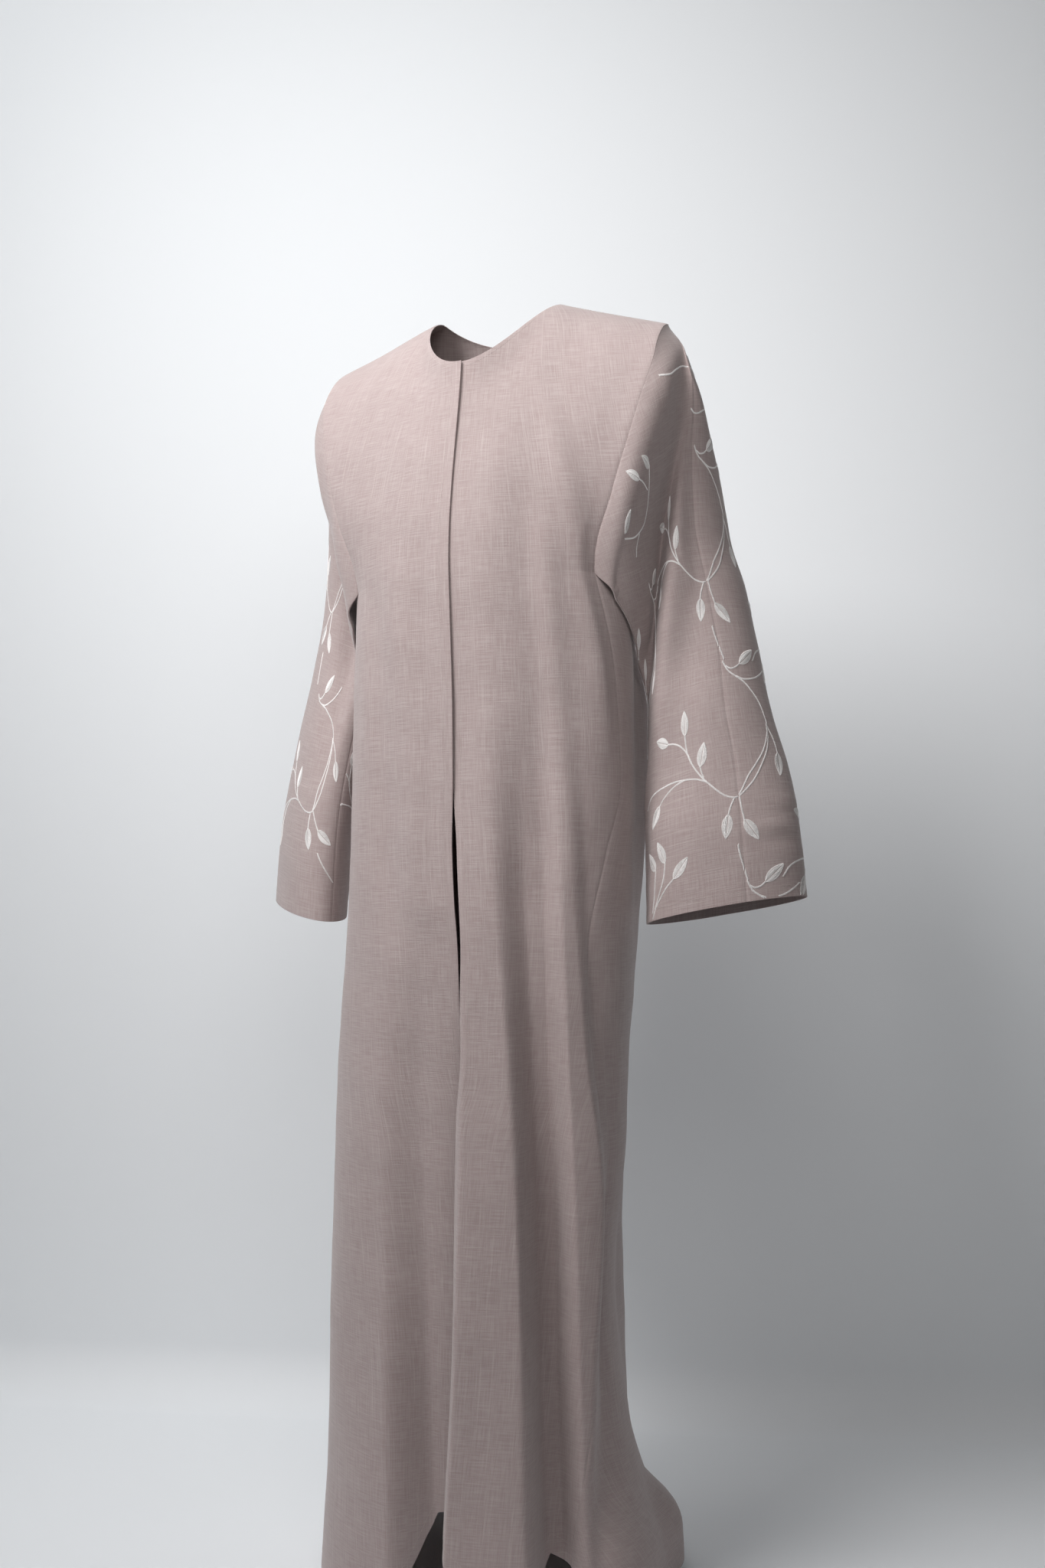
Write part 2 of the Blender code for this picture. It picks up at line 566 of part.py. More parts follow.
def garment():
    """Every piece as a grid of points on the middle of its cloth, and 1 or -1 for the side
    that its cells' right-hand normals take."""
    left, right, rear = front(1), front(-1), back()
    pieces = {"front_left": left, "front_right": right, "back": rear}
    outward = {"front_left": 1, "front_right": -1, "back": 1}
    side_seam = slice(0, SKIRT_CELLS + 1)
    rear[side_seam, 0] = left[side_seam, -1]
    rear[side_seam, -1] = right[side_seam, -1]
    rear[-1, :SHOULDER_CELLS + 1] = left[-1, :NECK_CELLS - 1:-1]
    rear[-1, -SHOULDER_CELLS - 1:] = right[-1, NECK_CELLS:]
    for name, side, table, fore, aft in (
            ("left", 1, LEFT_SLEEVE, left[SKIRT_CELLS:, -1], rear[SKIRT_CELLS:, 0]),
            ("right", -1, RIGHT_SLEEVE, right[SKIRT_CELLS:, -1], rear[SKIRT_CELLS:, -1])):
        front_half = sleeve_half(table, side, fore[::-1], True)
        back_half = sleeve_half(table, side, aft[::-1], False)
        back_half[:, 0], back_half[:, -1] = front_half[:, 0], front_half[:, -1]
        back_half[0, -1, 0] += side * CORNER_STEP
        front_half[0, -1, 0] += side * CORNER_STEP * 2
        pieces["sleeve_front_" + name], pieces["sleeve_back_" + name] = front_half, back_half
        outward["sleeve_front_" + name] = side
        outward["sleeve_back_" + name] = -side
    return pieces, outward


def face_normals(grid):
    """One unit normal at each point of a grid, from its own cells."""
    along = np.gradient(grid, axis=0)
    across = np.gradient(grid, axis=1)
    normal = np.cross(across, along)
    return normal / np.linalg.norm(normal, axis=-1, keepdims=True)


def rim_eased(normal):
    """Normals whose side columns change evenly from row to row."""
    for j in (0, -1):
        column = normal[:, j].copy()
        normal[1:-1, j] = (column[:-2] + 2 * column[1:-1] + column[2:]) / 4
    return normal / np.linalg.norm(normal, axis=-1, keepdims=True)


def shell_points(pieces, outward):
    """Outer and inner points of every piece. Along a seam two pieces share a mitred normal,
    or keep their own where the fold is sharp, and each draws back clear of the other."""
    normals = {name: rim_eased(face_normals(grid) * outward[name]) for name, grid in pieces.items()}
    meeting = {}
    for name, grid in pieces.items():
        for i, j in edge_cells(grid):
            key = tuple(np.round(grid[i, j], 6))
            meeting.setdefault(key, []).append((name, normals[name][i, j].copy(), inward(grid, i, j)))
    flatness = {}
    for others in meeting.values():
        pair = frozenset(other[0] for other in others)
        length = np.linalg.norm(np.mean([other[1] for other in others], axis=0))
        flatness[pair] = min(flatness.get(pair, 1.0), length)
    shells = {}
    for name, grid in pieces.items():
        middle, normal = grid.copy(), normals[name].copy()
        for i, j in edge_cells(grid):
            others = meeting[tuple(np.round(grid[i, j], 6))]
            if len(others) < 2:
                continue
            total = np.mean([other[1] for other in others], axis=0)
            length = np.linalg.norm(total)
            mitred = total / length * min(1 / length, 1.6)
            pair = frozenset(other[0] for other in others)
            flat = 1.0 if len(others) > 2 or flatness[pair] > FOLDED_SEAM else 0.0
            normal[i, j] = normal[i, j] * (1 - flat) + mitred * flat
            aside = inward(grid, i, j)
            if len(others) == 2:
                aside = own_side(grid, i, j, *sorted(others, key=lambda other: other[0] != name))
            lean = abs(normal[i, j] @ aside) * (1 - flat)
            middle[i, j] += aside * (SEAM_GAP * 0.75 + WALL / 2 * lean)
        shells[name] = (middle + normal * WALL / 2, middle - normal * WALL / 2)
    return shells


def inward(grid, i, j):
    """Unit direction from a point on the rim of a grid to the cloth inside the rim."""
    step = grid[min(max(i, 1), grid.shape[0] - 2), min(max(j, 1), grid.shape[1] - 2)] - grid[i, j]
    return step / np.linalg.norm(step)


def own_side(grid, i, j, own, other):
    """Unit direction away from the other piece at a seam, square to the seam."""
    apart = own[1] - other[1]
    if np.linalg.norm(apart) < 0.5:
        if j in (0, grid.shape[1] - 1):
            along = grid[min(i + 1, grid.shape[0] - 1), j] - grid[max(i - 1, 0), j]
        else:
            along = grid[i, j + 1] - grid[i, j - 1]
        apart = np.cross(along, own[1] + other[1])
    return apart / np.linalg.norm(apart) * (1 if apart @ (own[2] - other[2]) > 0 else -1)


def edge_cells(grid):
    """Row and column of each point on the rim of a grid, once round."""
    rows, cols = grid.shape[0] - 1, grid.shape[1] - 1
    rim = [(0, j) for j in range(cols)] + [(i, cols) for i in range(rows)]
    return rim + [(rows, j) for j in range(cols, 0, -1)] + [(i, 0) for i in range(rows, 0, -1)]


def wall_mesh(name, outer, inner, flip):
    """A closed wall between two grids of points, with its rim."""
    rows, cols = outer.shape[:2]
    total = rows * cols
    vertices = np.vstack([outer.reshape(-1, 3), inner.reshape(-1, 3)])
    faces = []
    for i in range(rows - 1):
        for j in range(cols - 1):
            a = i * cols + j
            b, c, d = a + 1, a + cols + 1, a + cols
            faces += [(a, b, c), (a, c, d)]
            faces += [(total + c, total + b, total + a), (total + d, total + c, total + a)]
    rim = [i * cols + j for i, j in edge_cells(outer)]
    order = [tuple(point) for point in np.round((outer + inner).reshape(-1, 3)[:, ::-1], 3)]
    for a, b in zip(rim, rim[1:] + rim[:1]):
        if order[a] < order[b]:
            faces += [(b, a, total + a), (b, total + a, total + b)]
        else:
            faces += [(b, a, total + b), (a, total + a, total + b)]
    if flip:
        faces = [face[::-1] for face in faces]
    mesh = bpy.data.meshes.new(name)
    mesh.from_pydata(vertices.tolist(), [], faces)
    mesh.shade_smooth()
    return mesh


def cloth_material(name):
    """Soft mauve-taupe woven cloth."""
    material = bpy.data.materials.new(name)
    material.use_nodes = True
    shader = material.node_tree.nodes["Principled BSDF"]
    shader.inputs["Base Color"].default_value = CLOTH_COLOUR
    shader.inputs["Roughness"].default_value = 0.85
    shader.inputs["Metallic"].default_value = 0.0
    material.diffuse_color = CLOTH_COLOUR
    return material


def build():
    """Remove what the scene holds and build every piece of the cloak."""
    for thing in list(bpy.data.objects):
        bpy.data.objects.remove(thing, do_unlink=True)
    pieces, outward = garment()
    for name, (outer, inner) in shell_points(pieces, outward).items():
        mesh = wall_mesh(name, outer, inner, outward[name] < 0)
        mesh.materials.append(cloth_material(name + "_cloth"))
        bpy.context.scene.collection.objects.link(bpy.data.objects.new(name, mesh))


build()
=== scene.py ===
import math

import bpy
import numpy as np
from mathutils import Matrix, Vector


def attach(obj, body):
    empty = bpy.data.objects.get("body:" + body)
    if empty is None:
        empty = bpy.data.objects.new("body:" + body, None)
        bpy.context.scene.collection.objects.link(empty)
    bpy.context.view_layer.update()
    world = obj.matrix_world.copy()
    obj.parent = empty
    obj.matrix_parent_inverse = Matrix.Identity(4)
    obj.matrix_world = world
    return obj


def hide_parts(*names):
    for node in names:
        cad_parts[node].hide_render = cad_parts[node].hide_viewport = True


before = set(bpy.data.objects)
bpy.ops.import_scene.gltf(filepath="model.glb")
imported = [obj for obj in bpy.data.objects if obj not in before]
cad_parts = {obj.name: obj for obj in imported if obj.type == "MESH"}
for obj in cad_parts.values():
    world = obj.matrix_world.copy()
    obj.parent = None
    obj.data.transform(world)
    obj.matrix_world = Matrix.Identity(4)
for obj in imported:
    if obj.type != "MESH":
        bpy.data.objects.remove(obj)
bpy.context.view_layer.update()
print("frame loaded")


# reading the tables
def table(names, *rows):
    return dict(zip(names.split(), np.array(sorted(rows), dtype=float).T))


def read(source, column, height):
    x, y = source["height"], source[column]
    step = np.diff(x)
    slope = np.diff(y) / step
    tangent = np.zeros_like(y)
    same = slope[:-1] * slope[1:] > 0
    tangent[1:-1][same] = 2 * slope[:-1][same] * slope[1:][same] / (slope[:-1] + slope[1:])[same]
    tangent[0], tangent[-1] = slope[0], slope[-1]
    h = np.clip(height, x[0], x[-1])
    i = np.clip(np.searchsorted(x, h, side="right") - 1, 0, len(step) - 1)
    t = (h - x[i]) / step[i]
    a = (1 + 2 * t) * (1 - t) ** 2 * y[i] + t * t * (3 - 2 * t) * y[i + 1]
    b = t * (1 - t) ** 2 * tangent[i] - t * t * (1 - t) * tangent[i + 1]
    return a + b * step[i]


def smooth(t):
    t = np.clip(t, 0.0, 1.0)
    return t * t * (3 - 2 * t)


def blendRows(first, last, share):
    return np.asarray(first) + (np.asarray(last) - np.asarray(first)) * np.asarray(share)[:, None]


# body cloth: the ellipse that each level hangs round
bodySections = table(
    "height  middleX  middleY  halfWidth  front  back",
    (-1.460, -0.012, -0.030, 0.195, 0.125, 0.300),
    (-1.400, -0.012, -0.031, 0.191, 0.123, 0.235),
    (-1.330, -0.012, -0.032, 0.186, 0.121, 0.175),
    (-1.250, -0.012, -0.033, 0.184, 0.119, 0.157),
    (-1.120, -0.012, -0.035, 0.182, 0.115, 0.150),
    (-0.900, -0.012, -0.035, 0.177, 0.108, 0.145),
    (-0.720, -0.004, -0.038, 0.172, 0.100, 0.145),
    (-0.550,  0.000, -0.040, 0.171, 0.094, 0.140),
    (-0.334,  0.000, -0.030, 0.169, 0.108, 0.125),
)

# where the seams run, in degrees round from the centre front
seamLines = table(
    "height  frontEdge  leftSide  rightSide  overlap  lift",
    (-1.460,  6.5, 50.0, 72.0,  0.010, -0.0040),
    (-1.350,  7.5, 53.0, 73.0,  0.010, -0.0040),
    (-1.120, 10.5, 66.0, 75.0,  0.010, -0.0040),
    (-0.930, 10.5, 68.0, 78.0,  0.008, -0.0035),
    (-0.870, 10.2, 64.0, 79.0, -0.006, -0.0010),
    (-0.840,  9.5, 62.0, 79.0, -0.008,  0.0010),
    (-0.812,  8.5, 60.0, 79.0, -0.008,  0.0020),
    (-0.750,  7.2, 60.0, 80.0, -0.009,  0.0020),
    (-0.640,  3.4, 70.0, 80.0, -0.007,  0.0030),
    (-0.560,  1.6, 82.0, 80.0,  0.002,  0.0060),
    (-0.450,  0.5, 77.0, 76.0,  0.006,  0.0045),
    (-0.334, -0.5, 62.5, 62.5,  0.006,  0.0035),
)

# the back's armhole edge, in degrees round and as a multiple of the section
backArmhole = table(
    "height  angle  reach",
    (-0.334,  62.5, 1.00),
    (-0.310,  82.0, 1.00),
    (-0.280,  98.0, 1.02),
    (-0.250, 109.0, 1.06),
    (-0.200, 117.0, 1.15),
    (-0.140, 118.0, 1.24),
    (-0.090, 113.0, 1.27),
    (-0.060, 106.5, 1.265),
    (-0.041, 101.0, 1.254),
)

# how far the fronts' armhole edge stands out sideways
frontArmhole = table(
    "height  out",
    (-0.334, 0.000),
    (-0.300, 0.008),
    (-0.250, 0.022),
    (-0.180, 0.028),
    (-0.110, 0.024),
    (-0.065, 0.010),
    (-0.041, 0.000),
)

# the lower edge, the left side positive
hemLine = table(
    "angle  height",
    (-180.0, -1.456),
    (-90.0, -1.455),
    (-60.0, -1.452),
    (-35.0, -1.445),
    (-17.0, -1.438),
    (-12.5, -1.424),
    (-8.5, -1.378),
    (-5.0, -1.353),
    (3.0, -1.348),
    (9.0, -1.378),
    (12.0, -1.387),
    (17.0, -1.404),
    (28.0, -1.411),
    (36.0, -1.403),
    (42.0, -1.378),
    (50.0, -1.388),
    (60.0, -1.425),
    (90.0, -1.445),
    (180.0, -1.456),
)

# folds stand proud by "rise" between two edges, in degrees round
bodyFolds = {
    "centre fold": table(
        "height  start  end  rise  startSoft  endSoft",
        (-1.400,  7.0, 39.0, 0.030, 5.0, 9.0),
        (-1.120, 10.5, 37.0, 0.026, 5.0, 9.0),
        (-0.900, 10.5, 33.5, 0.018, 6.0, 10.0),
        (-0.720,  5.0, 27.0, 0.010, 8.0, 12.0),
        (-0.480,  0.0, 20.0, 0.000, 10.0, 16.0),
    ),
    "centre recess": table(
        "height  start  end  rise  startSoft  endSoft",
        (-1.400, -11.0, 9.0, -0.046, 12.0, 5.0),
        (-1.120, -14.0, 12.0, -0.030, 15.0, 5.0),
        (-0.900, -16.0, 12.0, -0.015, 17.0, 6.0),
        (-0.700, -18.0, 12.0, 0.000, 20.0, 8.0),
    ),
    "left valley": table(
        "height  start  end  rise  startSoft  endSoft",
        (-1.400, 37.0, 53.0, -0.028, 8.0, 7.0),
        (-1.120, 36.0, 51.0, -0.026, 8.0, 7.0),
        (-0.900, 33.0, 48.0, -0.018, 9.0, 8.0),
        (-0.670, 25.0, 42.0, -0.010, 12.0, 9.0),
        (-0.480, 20.0, 36.0, 0.000, 16.0, 12.0),
    ),
    "left ridge": table(
        "height  start  end  rise  startSoft  endSoft",
        (-1.400, 53.0, 60.0, 0.004, 7.0, 8.0),
        (-1.200, 51.0, 63.0, 0.010, 7.0, 8.0),
        (-1.000, 49.0, 68.0, 0.014, 7.0, 8.0),
        (-0.850, 47.0, 61.5, 0.012, 8.0, 8.0),
        (-0.670, 42.0, 54.5, 0.006, 9.0, 9.0),
        (-0.480, 36.0, 48.0, 0.000, 12.0, 12.0),
    ),
    "left side hollow": table(
        "height  start  end  rise  startSoft  endSoft",
        (-1.400, 64.0, 120.0, 0.010, 14.0, 30.0),
        (-1.250, 66.0, 120.0, -0.014, 12.0, 30.0),
        (-1.110, 70.0, 124.0, -0.026, 12.0, 30.0),
        (-0.970, 72.0, 126.0, -0.010, 12.0, 30.0),
        (-0.800, 72.0, 126.0, 0.000, 14.0, 30.0),
    ),
    "back left drape": table(
        "height  start  end  rise  startSoft  endSoft",
        (-0.900, 114.0, 150.0, 0.000, 22.0, 26.0),
        (-0.790, 114.0, 150.0, 0.005, 22.0, 26.0),
        (-0.700, 116.0, 150.0, 0.013, 22.0, 26.0),
        (-0.620, 116.0, 150.0, 0.021, 22.0, 26.0),
        (-0.480, 118.0, 150.0, 0.028, 22.0, 26.0),
        (-0.390, 122.0, 150.0, 0.014, 22.0, 26.0),
        (-0.334, 124.0, 150.0, 0.000, 22.0, 26.0),
    ),
    "back right drape": table(
        "height  start  end  rise  startSoft  endSoft",
        (-0.980, 210.0, 246.0, 0.000, 26.0, 22.0),
        (-0.640, 210.0, 244.0, 0.014, 26.0, 22.0),
        (-0.480, 210.0, 242.0, 0.014, 26.0, 22.0),
        (-0.334, 210.0, 236.0, 0.000, 26.0, 22.0),
    ),
    "back left fold": table(
        "height  start  end  rise  startSoft  endSoft",
        (-1.450, 112.0, 140.0, 0.014, 16.0, 16.0),
        (-1.420, 112.0, 140.0, 0.020, 16.0, 16.0),
        (-1.385, 112.0, 140.0, 0.025, 16.0, 16.0),
        (-1.360, 112.0, 140.0, 0.016, 16.0, 16.0),
        (-1.330, 112.0, 140.0, 0.003, 16.0, 16.0),
        (-1.250, 113.0, 139.0, -0.006, 16.0, 16.0),
        (-1.100, 114.0, 138.0, 0.002, 16.0, 16.0),
        (-0.600, 118.0, 136.0, 0.000, 18.0, 18.0),
    ),
    "back middle fold": table(
        "height  start  end  rise  startSoft  endSoft",
        (-1.450, 164.0, 192.0, 0.034, 15.0, 15.0),
        (-1.100, 166.0, 190.0, 0.018, 15.0, 15.0),
        (-0.550, 170.0, 188.0, 0.000, 18.0, 18.0),
    ),
    "back right fold": table(
        "height  start  end  rise  startSoft  endSoft",
        (-1.450, 216.0, 244.0, 0.030, 16.0, 16.0),
        (-1.100, 218.0, 242.0, 0.016, 16.0, 16.0),
        (-0.600, 222.0, 240.0, 0.000, 18.0, 18.0),
    ),
}

bodySizes = {
    "neckHalfWidth": 0.078,
    "neckFrontDrop": 0.088,
    "neckFrontY": -0.112,
    "neckBackDrop": 0.022,
    "neckBackY": 0.052,
    "neckRound": 1.6,
    "shoulderTip": (0.208, 0.0, -0.041),
    "underarmHeight": -0.334,
    "hemSide": -1.44,
    "liftFade": 12.0,          # degrees over which one front settles onto the other
    "degreesPerMetre": 325.0,
    "neckCells": 9,            # the pattern's own divisions, as the solids have them
    "shoulderCells": 12,
    "armholeCells": 11,
    "skirtRows": 150,          # rows of points, hem to underarm
    "armholeRows": 62,         # rows of points, underarm to shoulder
    "frontColumns": 92,
    "backColumns": 150,
    "armholeSpacing": 1.2,
    "spacingFade": 0.04,
    "relaxTimes": 6,           # how widely the yoke is eased, in the pattern's own divisions
    "relaxRows": 3,
    "armholeReach": 4,
    "backMiddle": 17,          # the back's middle column, in the pattern's own divisions
    "backNeck": (0.38, 0.62),  # share of the back's width where the neck starts and ends
    "closeSteps": (0.12, 0.3, 0.6),
    "skirtEdge": 0.006,        # how near an end the closer steps reach, as a share
    "armholeEdge": 0.012,
    "frontEdge": 0.012,
    "backEdge": 0.006,
    # how the cloth arrives at the middle of the neck, its side and the shoulder tip
    "frontArrive": ((0.0, 0.02, 0.22), (-0.14, 0.28, 0.05), (0.01, 0.26, 0.07)),
    "backArrive": ((0.0, -0.10, 0.16), (-0.08, -0.26, 0.05), (0.03, -0.48, 0.10)),
}


def nearEdges(cells, share):
    # even steps, with closer ones beside both ends
    even = np.linspace(0.0, 1.0, cells + 1)
    close = share * np.array(bodySizes["closeSteps"])
    return np.unique(np.round(np.concatenate([even, close, 1 - close]), 7))


def bodyDepth(isFront, height):
    return np.where(isFront, read(bodySections, "front", height), read(bodySections, "back", height))


def bodyRelief(angle, height, side):
    around = np.where(angle < -90, angle + 360, angle)
    rise = 0 * around
    for name, fold in bodyFolds.items():
        if (name == "centre fold" and side < 1) or (name == "centre recess" and side > -1):
            continue
        start, end = read(fold, "start", height), read(fold, "end", height)
        softIn, softOut = read(fold, "startSoft", height), read(fold, "endSoft", height)
        edgeIn = smooth((around - start) / softIn + 0.5)
        edgeOut = smooth((around - end) / softOut + 0.5)
        rise = rise + read(fold, "rise", height) * (edgeIn - edgeOut)
    return rise


def bodySurface(angle, height, side):
    turn = np.radians(angle)
    sine, cosine = np.sin(turn), np.cos(turn)
    width = read(bodySections, "halfWidth", height)
    depth = bodyDepth(cosine > 0, height)
    x = read(bodySections, "middleX", height) + width * sine
    y = read(bodySections, "middleY", height) - depth * cosine
    outX, outY = sine / width, -cosine / depth
    size = np.hypot(outX, outY)
    edge = np.abs(angle - read(seamLines, "frontEdge", height)) / bodySizes["liftFade"]
    lift = side * read(seamLines, "lift", height) / 2 * smooth(1 - edge)
    rise = bodyRelief(angle, height, side) - lift
    return np.stack([x + rise * outX / size, y + rise * outY / size, height + 0 * x], -1)


def hemHeight(angle):
    around = np.where(angle > 180, angle - 360, angle)
    return np.interp(around, hemLine["angle"], hemLine["height"])


def skirt(start, end, spread, side):
    level = np.full(len(spread), bodySizes["hemSide"])
    hem = hemHeight(start(level) + (end(level) - start(level)) * spread)
    up = nearEdges(bodySizes["skirtRows"], bodySizes["skirtEdge"])
    height = hem[None, :] + (bodySizes["underarmHeight"] - hem)[None, :] * up[:, None]
    angle = start(height) + (end(height) - start(height)) * spread[None, :]
    return bodySurface(angle, height, side)


def aroundBody(points):
    height = points[..., 2]
    off = points[..., 1] - read(bodySections, "middleY", height)
    depth = bodyDepth(off < 0, height)
    across = points[..., 0] - read(bodySections, "middleX", height)
    across = across / read(bodySections, "halfWidth", height)
    return np.degrees(np.arctan2(across, -off / depth)) % 360, np.hypot(across, off / depth)


def fromAround(angle, reach, height):
    sine, cosine = np.sin(np.radians(angle)), np.cos(np.radians(angle))
    depth = bodyDepth(cosine > 0, height)
    x = read(bodySections, "middleX", height) + read(bodySections, "halfWidth", height) * reach * sine
    return np.stack([x, read(bodySections, "middleY", height) - depth * reach * cosine, height], -1)


def armholeSteps():
    return nearEdges(bodySizes["armholeRows"], bodySizes["armholeEdge"])


def yoke(skirtRows, top, arrive):
    # each column leaves the skirt smoothly and arrives at its point of the top edge
    base = skirtRows[-1]
    leave = base - skirtRows[-2]
    leave = leave / leave[:, 2:] * (top - base)[:, 2:]
    t = armholeSteps()[1:, None, None]
    return ((1 + 2 * t) * (1 - t) ** 2 * base + t * (1 - t) ** 2 * leave
            + t * t * (3 - 2 * t) * top - t * t * (1 - t) * arrive)


def relaxed(upper, place):
    # each column eased towards its neighbours, the first and last held, less near the top edge
    cells, rows = bodySizes["armholeCells"], bodySizes["relaxRows"]
    end = place[-1]
    around = np.concatenate([-place[:0:-1], place, 2 * end - place[-2::-1]])
    width = np.gradient(around)
    eased = upper.copy()
    for i, t in enumerate(armholeSteps()[1:]):
        free = smooth(cells * (1 - t) / rows) * smooth(cells * t / 2)
        if free < 0.01:
            continue
        line = upper[i]
        line = np.concatenate([2 * line[0] - line[:0:-1], line, 2 * line[-1] - line[-2::-1]])
        off = (around[None, :] - place[:, None]) ** 2 / (bodySizes["relaxTimes"] * free)
        weight = np.exp(-off) * width
        eased[i] = weight @ line / weight.sum(axis=1, keepdims=True)
    return eased


def frontCloth(side):
    sizes = bodySizes

    def freeEdge(height):
        lap = read(seamLines, "overlap", height) / 2 * sizes["degreesPerMetre"]
        return read(seamLines, "frontEdge", height) - side * lap

    def sideSeam(height):
        return side * read(seamLines, "leftSide" if side > 0 else "rightSide", height)

    spread = nearEdges(sizes["frontColumns"], sizes["frontEdge"])
    rows = skirt(freeEdge, sideSeam, spread, side)
    neckShare = sizes["neckCells"] / (sizes["neckCells"] + sizes["shoulderCells"])
    lap = seamLines["overlap"][-1] / 2 / sizes["neckHalfWidth"]
    neckPart = np.clip(spread / neckShare, 0, 1)
    turn = -lap + (math.pi / 2 + lap) * neckPart
    lift = seamLines["lift"][-1] / 2 * np.clip(1 - 4 * spread, 0, 1)
    neck = np.stack([side * sizes["neckHalfWidth"] * np.sin(turn),
                     sizes["neckFrontY"] * np.cos(turn) + side * lift,
                     -sizes["neckFrontDrop"] * np.clip(np.cos(turn), 0, 1) ** sizes["neckRound"]], -1)
    tip = np.array(sizes["shoulderTip"]) * (side, 1, 1)
    share = np.clip((spread - neckShare) / (1 - neckShare), 0, 1)
    point = np.array([side * sizes["neckHalfWidth"], 0.0, 0.0])
    onNeck = (spread <= neckShare)[:, None]
    top = np.where(onNeck, neck, blendRows(point, tip, share))
    atMiddle, atNeck, atTip = np.array(sizes["frontArrive"]) * (side, 1, 1)
    arrive = np.where(onNeck, blendRows(atMiddle, atNeck, neckPart ** 2),
                      blendRows(atNeck, atTip, share ** 0.5))
    place = spread * (sizes["neckCells"] + sizes["shoulderCells"])
    upper = relaxed(yoke(rows, top, arrive), place)
    out = read(frontArmhole, "out", upper[:, -1, 2])
    upper[..., 0] += side * out[:, None] * spread ** sizes["armholeReach"]
    return np.concatenate([rows, upper])


def curveArmhole(upper, place):
    # the first column moves to the armhole's curve, and the others less and less
    angle, reach = aroundBody(upper)
    height = upper[:, 0, 2]
    share = (angle[:, -1:] - angle) / (angle[:, -1:] - angle[:, :1])
    angle = angle + (read(backArmhole, "angle", height) - angle[:, 0])[:, None] * share
    fade = smooth((height[-1] - height) / bodySizes["spacingFade"])
    spacing = bodySizes["armholeSpacing"] * fade[:, None] * place
    angle = np.maximum.accumulate(angle - spacing, axis=1) + spacing
    reach = reach + (read(backArmhole, "reach", height) - reach[:, 0])[:, None] * share ** 1.5
    return fromAround(angle, reach, upper[..., 2])


def backCloth():
    sizes = bodySizes

    def leftSeam(height):
        return read(seamLines, "leftSide", height)

    def rightSeam(height):
        return 360 - read(seamLines, "rightSide", height)

    shoulder, neckEnd = sizes["backNeck"]
    columns = nearEdges(sizes["backColumns"], sizes["backEdge"])
    columns = np.unique(np.round(np.concatenate([columns, 1 - columns]), 7))
    spread = columns if 0.5 in columns else np.sort(np.append(columns, 0.5))
    rows = skirt(leftSeam, rightSeam, spread, 0)
    share = np.clip(np.minimum(spread, 1 - spread) / shoulder, 0, 1)
    turn = math.pi * (0.5 - np.clip((spread - shoulder) / (neckEnd - shoulder), 0, 1))
    neck = np.stack([sizes["neckHalfWidth"] * np.sin(turn), sizes["neckBackY"] * np.cos(turn),
                     -sizes["neckBackDrop"] * np.clip(np.cos(turn), 0, 1) ** sizes["neckRound"]], -1)
    way = np.where(spread > 0.5, -1.0, 1.0)[:, None] * (1, 0, 0) + (0, 1, 1)
    point = (sizes["neckHalfWidth"], 0.0, 0.0)
    onNeck = ((spread > shoulder) & (spread < neckEnd))[:, None]
    top = np.where(onNeck, neck, blendRows(sizes["shoulderTip"], point, share) * way)
    atMiddle, atNeck, atTip = sizes["backArrive"]
    arrive = np.where(onNeck, blendRows(atNeck, atMiddle, np.cos(turn)),
                      blendRows(atTip, atNeck, share ** 0.6))
    arrive = arrive * way
    upper = yoke(rows, top, arrive)
    half = int(np.argmin(np.abs(spread - 0.5)))
    middle = sizes["backMiddle"]
    place = np.interp(np.minimum(spread, 1 - spread), (0, shoulder, 0.5),
                      (0, sizes["shoulderCells"], middle))
    left = curveArmhole(upper[:, :half + 1], place[:half + 1])
    mirrored = upper[:, half:][:, ::-1] * (-1, 1, 1)
    right = curveArmhole(mirrored, place[half:][::-1])[:, ::-1] * (-1, 1, 1)
    across = np.where(spread > 0.5, 2 * middle - place, place)
    upper = relaxed(np.concatenate([left, right[:, 1:]], axis=1), across)
    upper[-1] = top
    return np.concatenate([rows, upper])


# sleeves: the flattened ring that each level hangs in; "turn" is where its outer end points
leftSleeve = table(
    "height  middleX  middleY  halfWidth  halfDepth  turn  overSeam  underSeam",
    (-0.740, 0.2695, 0.010, 0.0900, 0.044, 105.0, 74.0, 206.0),
    (-0.618, 0.2620, 0.015, 0.0850, 0.050, 105.0, 74.0, 192.0),
    (-0.540, 0.2530, 0.027, 0.0770, 0.052, 105.0, 74.0, 182.0),
    (-0.487, 0.2430, 0.033, 0.0695, 0.054, 105.0, 73.0, 180.0),
    (-0.410, 0.2330, 0.046, 0.0600, 0.055, 105.0, 72.0, 180.0),
    (-0.336, 0.2210, 0.050, 0.0560, 0.055, 105.0, 74.0, 180.0),
    (-0.275, 0.2120, 0.046, 0.0490, 0.053, 105.0, 74.0, 180.0),
    (-0.200, 0.2110, 0.036, 0.0410, 0.050, 105.0, 70.0, 180.0),
    (-0.120, 0.2170, 0.018, 0.0330, 0.044, 105.0, 62.0, 180.0),
    (-0.041, 0.2090, 0.000, 0.0190, 0.030, 105.0, 60.0, 180.0),
)
